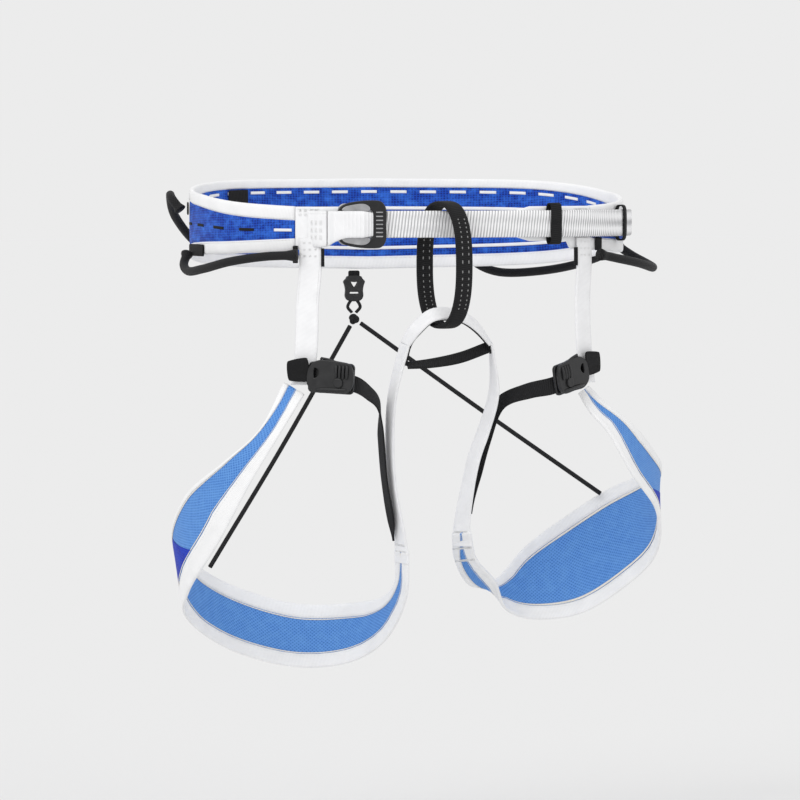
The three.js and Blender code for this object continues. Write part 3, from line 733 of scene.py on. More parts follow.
def make_pad_slots():
    """Rows of short slots in the mesh: pale ones near the top inside, and dark ones along the middle
    outside, where only the first and the last are pale."""
    distances = belt_distances()
    angle_at = lambda distance: next(i for i, d in enumerate(distances) if d >= distance) / 10
    # place, first and last angle, pitch, length, side, level
    rows = (("inside", 62, 298, 24 * MM, 13 * MM, -1, lambda d: top_seam(d) - 3.2 * MM),
            ("outside", PAD_FROM + 1, PAD_TO - 1, 31 * MM, 14 * MM, 1,
             lambda d: (top_seam(d) + bottom_seam(d)) / 2 - 0.5 * MM))
    for where, start, end, pitch, length, side, level in rows:
        first, last = distances[round(start * 10)], distances[round(end * 10)] - length
        count = round((last - first) / pitch)
        parts = {"smooth_white": [], "black_webbing": []}
        for i in range(count + 1):
            at = first + (last - first) * i / count
            look = "smooth_white" if side < 0 or i in (0, count) else "black_webbing"
            slot = waist_band(angle_at(at), angle_at(at + length), lambda d: level(d) - SLOT_HEIGHT / 2,
                              lambda d: level(d) + SLOT_HEIGHT / 2, 0.5 * MM,
                              lift=side * (PAD_THICKNESS / 2 + 0.1 * MM))
            parts[look].append(slot.build(f"slot_{where}_{i}", look, 8, across=4, edge=2.5))
        place(join(parts["smooth_white"], f"pad_slots_{where}"), "belt", "white_binding")
        if parts["black_webbing"]:
            place(join(parts["black_webbing"], f"dark_pad_slots_{where}"), "belt", "black_webbing")


def join(parts, name):
    """Gathers several meshes with one material into one piece."""
    vertices, faces, uvs = [], [], []
    look = parts[0].data.materials[0]
    for part in parts:
        first = len(vertices)
        vertices += [v.co.copy() for v in part.data.vertices]
        layer = part.data.uv_layers[0].data
        uv_of = {loop.vertex_index: layer[loop.index].uv.copy() for loop in part.data.loops}
        uvs += [uv_of[i] for i in range(len(part.data.vertices))]
        faces += [tuple(first + i for i in polygon.vertices) for polygon in part.data.polygons]
        bpy.data.objects.remove(part)
    look_name = next(key for key, value in LOOKS.items() if value == look)
    return link_mesh(name, vertices, faces, uvs, look_name)


def smooth_step(value):
    value = min(max(value, 0), 1)
    return value * value * (3 - 2 * value)


PATCH_THICKNESS = 4 * MM
# How far the patch reaches past the webbing: above it, below it, and below it on the narrow tongue.
PATCH_ABOVE, PATCH_BELOW, TONGUE_BELOW = 3 * MM, 9 * MM, 3 * MM


def make_front_patch(name, side, tongue_angle, node):
    """The T-shaped patch that joins the pad, the belt webbing and a riser."""
    outer, inner = PATCH_ANGLE + PATCH_HALF_ANGLE, PATCH_ANGLE - PATCH_HALF_ANGLE
    top_of_webbing = WEBBING_MIDDLE + WEBBING_WIDTH / 2
    bottom_of_webbing = WEBBING_MIDDLE - WEBBING_WIDTH / 2
    on_patch = lambda d: smooth_step((abs(d) - inner + 1.0) / 2.0)
    taper = lambda d: min(1, (abs(d) - tongue_angle) / 4)
    tongue = lambda d: TONGUE_BELOW * taper(d)
    bottom = lambda d: bottom_of_webbing - (tongue(d) + (PATCH_BELOW - tongue(d)) * on_patch(d))
    top = lambda d: top_of_webbing + PATCH_ABOVE * max(taper(d), on_patch(d))
    ends = (tongue_angle, outer) if side > 0 else (-outer, -tongue_angle)
    patch = waist_band(*ends, bottom, top, PATCH_THICKNESS)
    piece = patch.build(name, "smooth_white", 90, across=12, edge=5)
    place(piece, "belt", "white_webbing", [node])
    return patch


def make_front_patches():
    stitches = Stitching()
    for name, side, tongue in (("right", -1, 24), ("left", 1, 14)):
        patch = make_front_patch(f"{name}_patch", side, tongue, f"{name}_front_patch")
        wide_from = (PATCH_ANGLE - PATCH_HALF_ANGLE - tongue) / (PATCH_ANGLE + PATCH_HALF_ANGLE - tongue)
        ends = (wide_from + 0.06, 0.97) if side > 0 else (0.03, 1 - wide_from - 0.06)
        for v in (0.05, 0.95):
            stitches.run(patch, v, *ends, **FINE_STITCH)
        places = [ends[0] + (ends[1] - ends[0]) * share for share in (0.15, 0.38, 0.62, 0.85)]
        stitches.tacks(patch, places, (0.12, 0.22, 0.78, 0.88), 0.07, 1.8 * MM)
    stitches.finish("front_patch_stitching", "white_thread", "belt", "white_webbing")


def rib(travelled, v):
    """The raised ribs across the belt webbing."""
    return 0.32 * MM * math.cos(2 * math.pi * (travelled / RIB_PITCH + v))


def make_belt_webbing():
    low = lambda d: WEBBING_MIDDLE - WEBBING_WIDTH / 2
    high = lambda d: WEBBING_MIDDLE + WEBBING_WIDTH / 2
    base = waist_band(BUCKLE_ANGLE + 7, PATCH_ANGLE + 14, low, high, WEBBING_THICKNESS, BASE_OFFSET)
    place(base.build("belt_webbing_under", "white_webbing", 420, relief=rib), "belt", "white_webbing",
          ["belt_webbing"])
    tail = waist_band(BUCKLE_ANGLE - 3.5, TAIL_END_ANGLE, low, high, WEBBING_THICKNESS, TAIL_OFFSET)
    rounded_end = lambda t: max(0.3, 1 - max(0, (t - 0.965) / 0.035) ** 3 * 0.5)
    place(tail.build("belt_webbing_over", "white_webbing", 720, relief=rib, taper=rounded_end), "belt",
          "white_webbing", ["belt_webbing_tail"])
    # The tie webbing widens downwards into the patch.
    flare = lambda d: 7 * MM * smooth_step((BUCKLE_ANGLE - 3 - d) / 8)
    on_patch = PATCH_THICKNESS / 2 + 0.4 * MM
    leave_patch = lambda d: on_patch + (TAIL_OFFSET - on_patch) * smooth_step((d + PATCH_ANGLE) / 5)
    anchor = waist_band(-PATCH_ANGLE, BUCKLE_ANGLE - 8.6, lambda d: low(d) - flare(d), high,
                        WEBBING_THICKNESS, leave_patch)
    place(anchor.build("buckle_tie_webbing", "smooth_white", 90), "belt", "white_webbing",
          ["buckle_anchor_webbing"])
    stitches = Stitching()
    for v in (0.06, 0.94):
        stitches.run(anchor, v, **FINE_STITCH)
    stitches.tacks(anchor, (0.2, 0.42, 0.62), (0.2, 0.4, 0.6), 0.14, 1.6 * MM)
    stitches.finish("buckle_tie_stitching", "white_thread", "belt", "white_webbing")
    make_buckle_fold(low, high, flare)


def make_buckle_fold(low, high, flare):
    """The webbing folded over the buckle's near bar, with pleats in the buckle's window."""
    crest, sunk = TAIL_OFFSET + 7.4 * MM, TAIL_OFFSET + 3.4 * MM
    rise = lambda d: smooth_step((d - (BUCKLE_ANGLE - 9.4)) / 3.0)
    fall = lambda d: smooth_step((d - (BUCKLE_ANGLE + 0.4)) / 2.6)
    outward = lambda d: TAIL_OFFSET + (crest - TAIL_OFFSET) * rise(d) - (crest - sunk) * fall(d)
    trimmed = lambda d: 1.2 * MM * smooth_step((d - BUCKLE_ANGLE) / 3)
    ends = (BUCKLE_ANGLE - 9.8, BUCKLE_ANGLE + 3.2)
    fold = waist_band(*ends, lambda d: low(d) - flare(d) + trimmed(d), lambda d: high(d) - trimmed(d),
                      WEBBING_THICKNESS, outward)
    pleats = lambda travelled, v: 0.3 * MM * max(0, math.sin(2 * math.pi * travelled / (2.9 * MM))) * (
        1 if travelled > 17 * MM else 0)
    place(fold.build("buckle_fold_webbing", "smooth_white", 220, relief=pleats), "waist_buckle",
          "white_webbing")


# Outlines in mm, seen from the front.
BUCKLE_RIM = [(9, 17), (14, 16.2), (17, 12), (17.2, 0), (17, -12), (14, -16.2), (9, -17), (-6, -16),
              (-14, -13.6), (-17.2, -10), (-17.5, 0), (-17.2, 10), (-14, 13.6), (-6, 16)]
BUCKLE_CHEEK = [(-14.6, 10.6), (-13.4, 12.4), (-6, 14.4), (2, 14.8), (5.4, 12.6), (5.6, 10.6), (-4, 10.2)]


def make_waist_buckle():
    outward = TAIL_OFFSET + 3 * MM
    at = waist_point(BUCKLE_ANGLE, WEBBING_MIDDLE, outward)
    beside = waist_point(BUCKLE_ANGLE + 1, WEBBING_MIDDLE, outward)
    yaw = math.atan2(beside.y - at.y, beside.x - at.x)
    local = Matrix.Translation(at) @ Matrix.Rotation(yaw, 4, "Z")

    def put(piece, offset, body, slot, nodes=()):
        piece.data.transform(local @ Matrix.Translation(Vector(offset) * MM))
        place(piece, body, slot, nodes)
    window = rounded_rectangle(-2.2 * MM, 0, 22 * MM, 23 * MM, 3 * MM)
    put(shaped_plate("buckle_frame", [smooth_outline(BUCKLE_RIM), window], 2.6 * MM, "black_metal", 0.8 * MM),
        (0, 0, 0), "waist_buckle", "black_buckle_metal", ["waist_buckle_frame"])
    for name, side in (("upper", 1), ("lower", -1)):
        outline = smooth_outline([(x, z * side) for x, z in BUCKLE_CHEEK])
        put(shaped_plate(f"buckle_{name}_cheek", [outline], 1.0 * MM, "grey_metal", 0.3 * MM),
            (0, -1.5, 0), "waist_buckle", "grey_buckle_metal")
    put(plate("buckle_plate", 30 * MM, 31 * MM, 1.8 * MM, 5 * MM,
              [(-6.5 * MM, 0, 7 * MM, 22 * MM), (5.5 * MM, 0, 8 * MM, 22 * MM)], "grey_metal"),
        (-3, 5.8, 0), "belt", "grey_buckle_metal", ["waist_buckle_plate"])
    # The grip ribs sit on the black bar. Their grey metal colour is a painted highlight on the crests of
    # black ribs.
    for i in range(7):
        painted_highlight_rib = plate(f"buckle_grip_rib_{i + 1}", 5.2 * MM, 0.9 * MM, 0.8 * MM, 0.2 * MM, [],
                          "grey_metal", bevel=0.15 * MM)
        put(painted_highlight_rib, (13, -1.45, 3 * (3 - i)), "waist_buckle", "black_buckle_metal")


# name, angle, width and height in mm
KEEPERS = (("front", 24, 10, 30), ("side", 57, 6, 26))
KEEPER_HALF_DEPTH, KEEPER_THICKNESS = 3.4 * MM, 1.2 * MM


def make_keepers():
    offset = (BASE_OFFSET + TAIL_OFFSET) / 2
    for name, degrees, width, height in KEEPERS:
        at = waist_point(degrees, WEBBING_MIDDLE, offset)
        travel = (waist_point(degrees + 1, WEBBING_MIDDLE, offset) - at).normalized()
        outward = travel.cross(Vector((0, 0, 1)))

        def around(side, at=at, travel=travel, outward=outward, width=width, height=height):
            def point(t):
                turn = -t * 2 * math.pi
                return (at + outward * (softened(math.cos(turn), 0.5) * KEEPER_HALF_DEPTH)
                        + travel * (side * width / 2 * MM)
                        + Vector((0, 0, softened(math.sin(turn), 0.5) * height / 2 * MM)))
            return point
        strap = Strap(around(-1), around(1), KEEPER_THICKNESS, closed=True)
        piece = strap.build(f"{name}_webbing_keeper", "black_webbing", 120, across=6)
        place(piece, f"{name}_keeper_body", "black_webbing", [f"{name}_keeper"])


# ---------------------------------------------------------------- belay loop
def make_belay_loop():
    centre, angle = Vector((-8, -134, 0)) * MM, math.radians(24)
    top, bottom, depth, width = 19 * MM, -76.5 * MM, 45.5 * MM, 15 * MM
    front = Vector((math.sin(angle), -math.cos(angle), 0))
    across = Vector((math.cos(angle), math.sin(angle), 0))
    half_height = (top - bottom) / 2 - 2 * MM

    def around(side):
        def point(t):
            swing = t * 2 * math.pi
            up = softened(math.cos(swing), 0.8) * half_height
            forward = softened(math.sin(swing), 0.85) * depth / 2
            return (centre + Vector((0, 0, (top + bottom) / 2 + up)) + front * forward
                    + across * (side * width / 2))
        return point
    loop = Strap(around(1), around(-1), 3.6 * MM, closed=True)
    place(loop.build("belay_loop_webbing", "black_webbing", 220, across=10, edge=4), "belay_loop_body",
          "black_webbing", ["belay_loop"])
    stitches = Stitching()
    for start, end in ((0.13, 0.37), (0.63, 0.87)):
        for v in (0.3, 0.7):
            for side in (1, -1):
                stitches.run(loop, v, start, end, pitch=3.2 * MM, share=0.4, width=1.1 * MM, side=side)
    stitches.finish("belay_loop_stitching", "grey_thread", "belay_loop_body", "black_webbing")


# ---------------------------------------------------------------- risers and bridge
def make_risers():
    for name, side, top in (("right", -1, (-105, -110.5, -9)), ("left", 1, (108.5, -108.5, -9))):
        across = Vector((0.82, 0.57 * side, 0))
        stations = [(top, across), ((top[0], top[1] - 0.4, -30), across),
                    ((side * 107, -110, -58), across), ((side * 108, -110.5, -90), across),
                    ((side * 111, -110, -118), across)]
        riser = strap_along(stations, 18 * MM, 2 * MM)
        piece = riser.build(f"{name}_riser_webbing", "smooth_white", 110, edge=6)
        finish_piece(piece, "white_webbing", [f"{name}_riser"])
        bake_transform(piece)
        beside = [(Vector(at) - across * side * 9.8, across) for at, _ in stations[:2]]
        edging = strap_along(beside, 2.4 * MM, 2.6 * MM)
        place(edging.build(f"{name}_riser_edging", "black_webbing", 20, across=4, start=0.35), "belt",
              "black_webbing")
        stitches = Stitching()
        for v in (0.1, 0.9):
            stitches.run(riser, v, 0.02, 0.5, **FINE_STITCH)
        stitches.tacks(riser, (0.04, 0.1, 0.16), (0.2, 0.44, 0.68), 0.12, 1.6 * MM)
        stitches.finish(f"{name}_riser_stitching", "white_thread", "belt", "white_webbing")


BRIDGE = [
    ((-33, -116, -88), (-0.25, 0.93, 0.25)), ((-28, -125, -77), (-0.3, 0.8, 0.5)),
    ((-18, -133.5, -66.5), (-0.1, 0.72, 0.69)), ((-7, -134.5, -65), (0, 0.7, 0.71)),
    ((6, -130.5, -67), (0.1, 0.72, 0.69)), ((20, -124, -75), (0.25, 0.8, 0.55)),
    ((33, -115, -88), (0.25, 0.93, 0.25)),
]
CROSS_STRAP = [((-31, -113.5, -104), (0.15, 0.9, 0.35)), ((-14, -117, -102.5), (0.1, 0.85, 0.5)),
               ((8, -119, -98.5), (0.05, 0.75, 0.6)), ((31.5, -114.5, -91), (0, 0.75, 0.6))]
LINING_FROM, LINING_TO = ((-35.5, -113, -103), (-0.2, 0.95, 0.2)), ((35.5, -113.5, -94), (0.2, 0.95, 0.2))


def make_bridge():
    bridge = strap_along(BRIDGE, 12.5 * MM, 2 * MM)
    place(bridge.build("bridge_webbing", "smooth_white", 120), "belt", "white_webbing", ["leg_bridge"])
    lining = strap_along([LINING_FROM, *BRIDGE, LINING_TO], 10.5 * MM, 1.4 * MM, lift=-2 * MM)
    place(lining.build("bridge_lining", "black_webbing", 120), "belt", "black_webbing", ["leg_bridge_lining"])
    cross = strap_along(CROSS_STRAP, 12 * MM, 1.6 * MM)
    place(cross.build("cross_strap_webbing", "black_webbing", 60), "belt", "black_webbing",
          ["bridge_cross_strap"])


# ---------------------------------------------------------------- leg loops
RIGHT_LEG_LOOP = [
    ((-15, -62, -246), (-21, -46, -246)), ((-12, -46, -281), (-15, -26, -270)),
    ((-17, 2, -319), (-17, 6, -284)), ((-35, 36, -336), (-34, 36, -290)),
    ((-70, 60, -340), (-70, 60, -291)), ((-119, 64, -327), (-120, 64, -276)),
    ((-162, 32, -301), (-167, 28, -250)), ((-177, -27, -276), (-186, -15, -228)),
    ((-168, -80, -237), (-184, -52, -200)), ((-149, -107, -189), (-166, -94, -174)),
    ((-129, -116, -153), (-144, -107, -152)), ((-110, -112, -125), (-123, -102, -116)),
]
LEFT_LEG_LOOP = [
    ((103, -113, -126), (114, -103, -121)), ((110, -119, -140), (126, -108, -134)),
    ((122, -123, -154), (146, -104, -148)), ((143, -120, -187), (172, -80, -170)),
    ((169, -100, -216), (188, -48, -186)), ((181, -62, -250), (179, -16, -194)),
    ((171, -26, -275), (161, 4, -205)), ((141, 8, -300), (135, 18, -224)),
    ((107, 22, -304), (103, 22, -247)), ((84, 10, -296), (76, 14, -272)),
    ((68, -15, -273), (53, 1, -276)), ((43, -45, -252), (31, -28, -254)),
    ((34, -62, -232), (23, -48, -234)),
]
LEG_BINDING_WIDTH, LEG_BINDING_THICKNESS, LEG_PANEL_THICKNESS = 11 * MM, 3 * MM, 2.4 * MM
# The most that each binding takes of the loop's width, and what it takes where the two meet.
LOWER_SHARE, UPPER_SHARE, MEETING_SHARE = 0.4, 0.26, 0.49
# On a wide stretch the lower binding gains this width and the upper one loses this share of its own.
WIDE_GAIN, SLIM_LOSS = 7 * MM, 0.68
# How much of the way round the leg a change of width takes.
CLOSING_STRETCH, WIDENING_STRETCH = 0.12, 0.08
LEG_STEPS = 220
# Where the upper binding is slim and the lower one wide, as shares of the way round the leg.
WIDE_LOWER = {"right": (0.50, 0.98), "left": None}
# Where rows of stitching cross the whole leg loop.
CROSS_STITCHES = {"right": (), "left": (0.915, 0.955)}
# Where the bindings meet and hide the panel.
CLOSED_ENDS = {"right": (0,), "left": (0, 1)}


def leg_bands(side, stations):
    """The lower binding, the panel and the upper binding of one leg loop."""
    lower = centripetal(mm(low for low, _ in stations))
    upper = centripetal(mm(high for _, high in stations))
    stretch = WIDE_LOWER[side]

    def outside(t):
        if not stretch:
            return 0.0
        start, end = stretch
        return smooth_step((t - start) / WIDENING_STRETCH) * smooth_step((end - t) / WIDENING_STRETCH)

    def seam(t, share, widest):
        width = upper(t) - lower(t)
        closing = max(1 - smooth_step(abs(t - end) / CLOSING_STRETCH) for end in CLOSED_ENDS[side])
        return width.normalized() * min(widest, width.length * (share + (MEETING_SHARE - share) * closing))
    lower_seam = lambda t: lower(t) + seam(t, LOWER_SHARE, LEG_BINDING_WIDTH + WIDE_GAIN * outside(t))
    upper_seam = lambda t: upper(t) - seam(t, UPPER_SHARE, LEG_BINDING_WIDTH) * (1 - SLIM_LOSS * outside(t))
    return (Strap(lower, lower_seam, LEG_BINDING_THICKNESS),
            Strap(lower_seam, upper_seam, LEG_PANEL_THICKNESS),
            Strap(upper_seam, upper, LEG_BINDING_THICKNESS))


def make_leg_loop(side, stations):
    body = f"{side}_leg"
    lower, panel, upper = leg_bands(side, stations)
    cloth = tucked(panel).build(f"{side}_leg_mesh", "leg_mesh", LEG_STEPS, across=12, edge=4)
    place(cloth, body, "leg_mesh", [f"{side}_leg_panel"])
    place(lower.build(f"{side}_leg_band_lower", "white_binding", LEG_STEPS, across=12, edge=3, relief=crease),
          body, "white_binding", [f"{side}_leg_lower_binding"])
    place(upper.build(f"{side}_leg_band_upper", "white_binding", LEG_STEPS, edge=3), body, "white_binding",
          [f"{side}_leg_upper_binding"])
    seams = [panel.part(v, v + 0.03, 0.5 * MM, lift=face * 1.25 * MM).build(
        f"{side}_seam_{i}", "cream_seam", LEG_STEPS, across=4, edge=2.2)
        for i, (v, face) in enumerate(((0.0, 1), (0.0, -1), (0.97, 1), (0.97, -1)))]
    place(join(seams, f"{side}_leg_seam_lines"), body, "white_binding")
    stitches = Stitching()
    for band, v in ((lower, 0.82), (upper, 0.18)):
        for face in (1, -1):
            stitches.run(band, v, side=face, rise=-0.2 * MM, width=0.4 * MM)
    whole = Strap(lower.lower, upper.upper, LEG_BINDING_THICKNESS)
    for at in CROSS_STITCHES[side]:
        for face in (1, -1):
            stitches.bartack(whole, at, 0.04, 0.96, rows=4, depth=1.8 * MM, side=face)
    stitches.finish(f"{side}_leg_stitching", "white_thread", body, "white_binding")
    return panel


def crease(travelled, v):
    """A soft fold line along the lower binding, and gentle puckers beside its stitching."""
    fold = -0.5 * MM * math.exp(-((v - 0.42) / 0.08) ** 2)
    return fold + 0.12 * MM * math.sin(travelled / (2.2 * MM)) * v


def make_outer_prints(panels):
    """A plain deep blue area on the outside of each leg loop: a wedge on the right, a patch on the left."""
    wedge = lambda s: min(0.96, 0.02 + 2.04 * (1 - s))
    patch = lambda s: 0.04 + 0.6 * math.sin(math.pi * s)
    for side, start, end, top in (("right", 0.56, 0.68, wedge), ("left", 0.30, 0.46, patch)):
        def edge(share, panel=panels[side], start=start, end=end):
            at = lambda s: start + (end - start) * s
            return lambda s: panel.lower(at(s)).lerp(panel.upper(at(s)), share(s))
        area = Strap(edge(lambda s: 0.01), edge(top), 0.3 * MM, lift=1.35 * MM)
        place(area.build(f"{side}_leg_print", "deep_blue", 60, across=8, edge=6), f"{side}_leg", "leg_mesh")


INNER_STRAPS = {
    "right": [((-33, -115, -88), (-0.15, 0.97, 0.2)), ((-39, -103, -125), (-0.12, 0.96, 0.2)),
              ((-37, -88, -155), (-0.12, 0.96, 0.2)), ((-31, -72, -193), (-0.15, 0.96, 0.2)),
              ((-19, -55.5, -241), (-0.35, 0.93, 0.05)), ((-16.8, -50.5, -255), (-0.3, 0.95, 0.05))],
    "left": [((31.5, -48.5, -243), (-0.6, 0.8, 0)), ((29, -54.5, -229), (-0.6, 0.8, 0)),
             ((29, -74, -192), (-0.36, 0.9, 0.2)), ((31, -82.5, -173), (-0.33, 0.91, 0.2)),
             ((35, -91, -155), (-0.3, 0.92, 0.2)), ((39.5, -104, -125), (-0.2, 0.95, 0.2)),
             ((34, -115, -88), (0.15, 0.97, 0.2))],
}
ADJUSTERS = {
    "right": [((-85, -127, -114.5), (0.15, 0.3, 0.94)), ((-75, -130.5, -117.5), (0.15, 0.3, 0.94)),
              ((-62, -117, -124), (0.3, 0.5, 0.8)), ((-48, -97, -135), (0.3, 0.8, 0.5)),
              ((-43, -85, -160), (-0.1, 0.97, 0.2)), ((-37, -73, -191), (-0.1, 0.97, 0.2)),
              ((-28, -60, -224), (-0.25, 0.95, 0.2)), ((-24.5, -54, -238), (-0.3, 0.95, 0.1))],
    "left": [((34, -62, -218), (-0.3, 0.93, 0.2)), ((34.5, -73, -191), (-0.3, 0.93, 0.2)),
             ((39.5, -86, -160), (-0.2, 0.95, 0.2)), ((46.5, -96, -134), (-0.3, 0.8, 0.5)),
             ((62, -117, -124), (-0.3, 0.5, 0.8)), ((76, -129.5, -120), (-0.15, 0.3, 0.94)),
             ((86, -126, -117), (-0.15, 0.3, 0.94))],
}


def make_leg_straps(side):
    body = f"{side}_leg"
    inner = strap_along(INNER_STRAPS[side], 15 * MM, 2.2 * MM)
    from_loop = (lambda t: 1 - t) if side == "right" else (lambda t: t)
    spread = lambda t: 1.25 - 0.25 * smooth_step(from_loop(t) / 0.25)
    piece = inner.build(f"{side}_thigh_strap", "smooth_white", 150, edge=5, taper=spread)
    finish_piece(piece, "white_webbing", [f"{side}_inner_thigh_strap"])
    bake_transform(piece)
    adjuster = strap_along(ADJUSTERS[side], 13 * MM, WEBBING_THICKNESS)
    point = lambda t: 0.12 + 0.88 * smooth_step(from_loop(t) / 0.22)
    place(adjuster.build(f"{side}_adjuster_webbing", "black_webbing", 150, taper=point), body,
          "black_webbing", [f"{side}_adjuster_strap"])
    stitches = Stitching()
    low_end = 0.86 if side == "right" else 0.14
    for at in (low_end, low_end - 0.06):
        for face in (1, -1):
            stitches.bartack(inner, at, 0.1, 0.9, rows=5, depth=2.0 * MM, side=face)
    stitches.finish(f"{side}_thigh_strap_bartacks", "white_thread", body, "white_webbing")


# For each leg: which way it faces, its place in mm, and its roll in degrees.
LEG_BUCKLES = {"right": (-1, (-93, -125, -114), 3), "left": (1, (93, -124, -114), -12)}
# Outlines for the right buckle, in mm. The left one is its mirror image.
HOOK_OUTLINE = [(-17, 1), (-15.5, 9), (-10, 13.4), (-2, 14.2), (8, 13.4), (15, 12), (17.4, 8), (17.4, -4),
                (14, -8), (2, -8.6), (-10, -8.8), (-16, -5)]
HOOK_WINDOW = [(-12.4, 0.6), (-12.4, 9), (-9.4, 8.4), (-7.6, 5.2), (-9.6, 1.4)]
WRAP_OUTLINE = [(-7.6, -5.6), (-7.6, 7.4), (-6, 8.2), (6.4, 9.4), (7.6, 8.8), (7.6, -7.2), (6.4, -7.8),
                (-6, -6.4)]


def make_leg_buckle(side):
    sign, at, roll = LEG_BUCKLES[side]
    local = (Matrix.Translation(Vector(at) * MM) @ Matrix.Rotation(math.radians(35 * sign), 4, "Z")
             @ Matrix.Rotation(math.radians(roll), 4, "Y"))
    body, hook = f"{side}_leg", f"{side}_leg_hook"

    def facing(points):
        turned = [(-x * sign, z) for x, z in points]
        return smooth_outline(turned)

    def put(piece, offset, rider, node=None):
        piece.data.transform(local @ Matrix.Translation(Vector(offset) * MM))
        place(piece, rider, "black_plastic", [node] if node else [])

    def bar(name, points, radius, squash=None):
        curve = centripetal([Vector((-x * sign, y, z)) * MM for x, y, z in points])
        piece = tube(f"{side}_clip_{name}", curve, radius * MM, "black_plastic", sides=12, steps=30,
                     swell=squash)
        put(piece, (0, 0, 0), hook)
    put(plate(f"{side}_clip_frame", 36 * MM, 23 * MM, 2.4 * MM, 3 * MM,
              [(-sign * 11 * MM, 0, 4 * MM, 17 * MM), (-sign * 3 * MM, 0, 4 * MM, 17 * MM)], "black_plastic"),
        (0, 0.8, 1.5), body, f"{side}_leg_buckle_frame")
    hook_plate = shaped_plate(f"{side}_clip_hook", [facing(HOOK_OUTLINE), facing(HOOK_WINDOW)], 3.2 * MM,
                              "black_plastic", 0.7 * MM)
    put(hook_plate, (0, -3.2, 0), hook, f"{side}_leg_buckle_hook")
    rounded = lambda t: 0.55 + 0.45 * math.sin(math.pi * t) ** 0.35
    for i in range(4):
        across = 5.4 + 2.8 * i
        bar(f"barrel_rib_{i + 1}", [(across, -5, 1.5), (across, -5.4, 6), (across, -5, 11.6)], 1.3, rounded)
    bar("lower_lip", [(-10, -4.6, -7.4), (-4, -5.4, -6.9), (8, -5.2, -6.5), (14, -4.6, -6.4)], 1.1, rounded)
    bar("top_rod", [(-7.6, -3.2, 16), (-1, -3.4, 15.2), (5.4, -3.2, 13.4)], 0.9)
    for i, (x, low, high) in enumerate(((-7.4, 13, 16), (-1.6, 13, 15.6), (5, 12, 13.8))):
        bar(f"rod_post_{i + 1}", [(x, -3.2, low), (x, -3.2, (low + high) / 2), (x, -3.2, high)], 0.9)
    boss = plate(f"{side}_clip_boss", 7.2 * MM, 7.2 * MM, 2.4 * MM, 2.4 * MM, [], "black_plastic",
                 bevel=0.7 * MM)
    put(boss, (-sign * 7.4, -5.2, -1.6), hook)
    wrap = shaped_plate(f"{side}_clip_webbing", [facing(WRAP_OUTLINE)], 1.6 * MM, "black_webbing", 0.3 * MM)
    wrap.data.transform(local @ Matrix.Translation(Vector((sign * 25, -3.4, 5)) * MM)
                        @ Matrix.Rotation(math.radians(8 * sign), 4, "Y"))
    place(wrap, body, "black_webbing", [f"{side}_leg_buckle_webbing"])


# ---------------------------------------------------------------- rear suspension
# Half of the clip's outline, as (half width, distance below the top of the tab), in mm.
CLIP_PROFILE = [(5.2, 5), (6, 6.4), (7.9, 8.6), (7.2, 10.8), (6.4, 15), (6.6, 20), (4.6, 22.6)]


def make_rear_clip():
    tab = plate("clip_tab", 9 * MM, 5 * MM, 1.6 * MM, 1 * MM, [], "black_webbing")
    tab.data.transform(Matrix.Translation(CLIP + Vector((0, 0, -1.6 * MM))))
    place(tab, "belt", "black_webbing", ["rear_clip_tab"])
    right_half = [(x, -down) for x, down in CLIP_PROFILE]
    outline = smooth_outline(right_half + [(-x, z) for x, z in reversed(right_half)])
    triangle = smooth_outline([(-3.2, -8.2), (0, -8.4), (3.2, -8.2), (2.2, -11), (0, -13.4), (-2.2, -11)])
    slot = rounded_rectangle(0, -17.2 * MM, 8.4 * MM, 2.4 * MM, 0.9 * MM)
    clip = shaped_plate("suspension_clip", [outline, triangle, slot], 3.4 * MM, "black_plastic", 0.6 * MM)
    clip.data.transform(Matrix.Translation(CLIP + Vector((0, 0, 0.9 * MM))))
    place(clip, "rear_clip_body", "black_plastic", ["rear_clip"])
    loop_points = [(-1.6, 0, -31.6), (-5, 0, -27), (0, 0, -20.6), (5, 0, -27), (1.6, 0, -31.6)]
    loop_curve = centripetal([CLIP + p for p in mm(loop_points)])
    loop = tube("clip_cord_loop", loop_curve, 1.25 * MM, "cord", sides=10, steps=50)
    place(loop, "rear_clip_body", "black_cord", ["suspension_cord_loop"])
    knot = overhand_knot(CLIP + Vector((0, 0, -36.6 * MM)))
    place(knot, "rear_clip_body", "black_cord", ["suspension_knot"])


def overhand_knot(centre):
    """A tight trefoil of cord."""
    def around(t):
        turn = 2 * math.pi * t
        reach = 1.7 + 0.9 * math.cos(3 * turn)
        return centre + Vector((reach * math.cos(2 * turn), 1.1 * math.sin(3 * turn),
                                reach * math.sin(2 * turn))) * MM * 1.1
    return tube("cord_knot", around, 1.5 * MM, "cord", sides=10, steps=120)


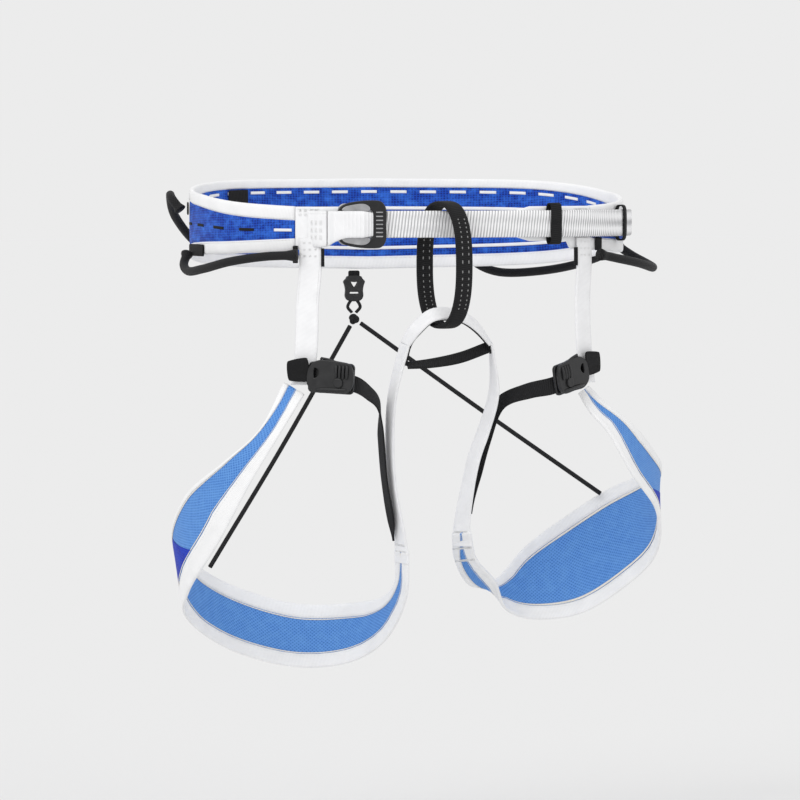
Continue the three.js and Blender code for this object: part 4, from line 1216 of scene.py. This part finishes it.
# ---------------------------------------------------------------- gear loops
# For each loop: its route, then for the front and the back tab the angle, half the angle covered,
# the level and half the height.
GEAR_LOOPS = {
    "front_right": ([(-115.5, -111.5, -21.5), (-136, -99, -22.5), (-157, -76, -26.5), (-170, -44, -32.5),
                     (-174.5, -16, -34.5), (-174, -2, -29.5), (-170, 4, -22)],
                    ((-40, 0.8, -21, 6.5), (-88, 6, -19, 4.5))),
    "front_left": ([(121, -109, -22), (137, -100, -25), (160, -82, -29), (180, -54, -33),
                    (187, -22, -31), (180, 0, -24), (171.5, 8, -17)],
                   ((44, 1.6, -14, 5), (94, 1.6, -17, 5))),
    "rear_right": ([(-170.5, 22, 11), (-175.5, 27, 19), (-173, 43, 22), (-160.5, 76, 5),
                    (-134, 100, -18), (-104, 111, -27), (-84, 111, -23)],
                   ((-100, 1.6, 12, 5), (-154, 1.6, -24, 5))),
    "rear_left": ([(171, 26, -8), (177, 40, -20), (164, 70, -31), (138, 97, -38),
                   (108, 112, -39), (92, 114, -33), (82, 111.5, -24)],
                  ((104, 1.6, -6, 5), (154, 1.6, -24, 5))),
}


GEAR_LOOP_RADIUS = 3.5 * MM
TAB_THICKNESS, TAB_OFFSET = 1.2 * MM, 3.2 * MM


def make_gear_loops():
    for name, (route, tabs) in GEAR_LOOPS.items():
        swell = lambda t: 0.95 + 0.37 * smooth_step((abs(2 * t - 1) - 0.86) / 0.14)
        piece = tube(f"{name}_loop_tube", centripetal(mm(route)), GEAR_LOOP_RADIUS, "tube", sides=18,
                     steps=110, swell=swell)
        place(piece, f"{name}_gear_loop_body", "gear_loop_tube", [f"{name}_gear_loop"])
        for end, (degrees, half_angle, level, half_height) in zip(("front", "back"), tabs):
            low = lambda d, edge=level - half_height: edge * MM
            high = lambda d, edge=level + half_height: edge * MM
            tab = waist_band(degrees - half_angle, degrees + half_angle, low, high, TAB_THICKNESS, TAB_OFFSET)
            place(tab.build(f"{name}_{end}_loop_tab", "black_webbing", 20, across=6), "belt", "black_webbing",
                  [f"{name}_gear_loop_{end}_tab"])


# ---------------------------------------------------------------- assembly
make_camera()
make_elastic_cords()
make_studio()
make_waist_pad()
make_inner_tapes()
make_pad_slots()
make_front_patches()
make_belt_webbing()
make_waist_buckle()
make_keepers()
make_belay_loop()
make_risers()
make_bridge()
leg_panels = {"right": make_leg_loop("right", RIGHT_LEG_LOOP), "left": make_leg_loop("left", LEFT_LEG_LOOP)}
make_outer_prints(leg_panels)
for leg in ("right", "left"):
    make_leg_straps(leg)
    make_leg_buckle(leg)
make_rear_clip()
make_gear_loops()
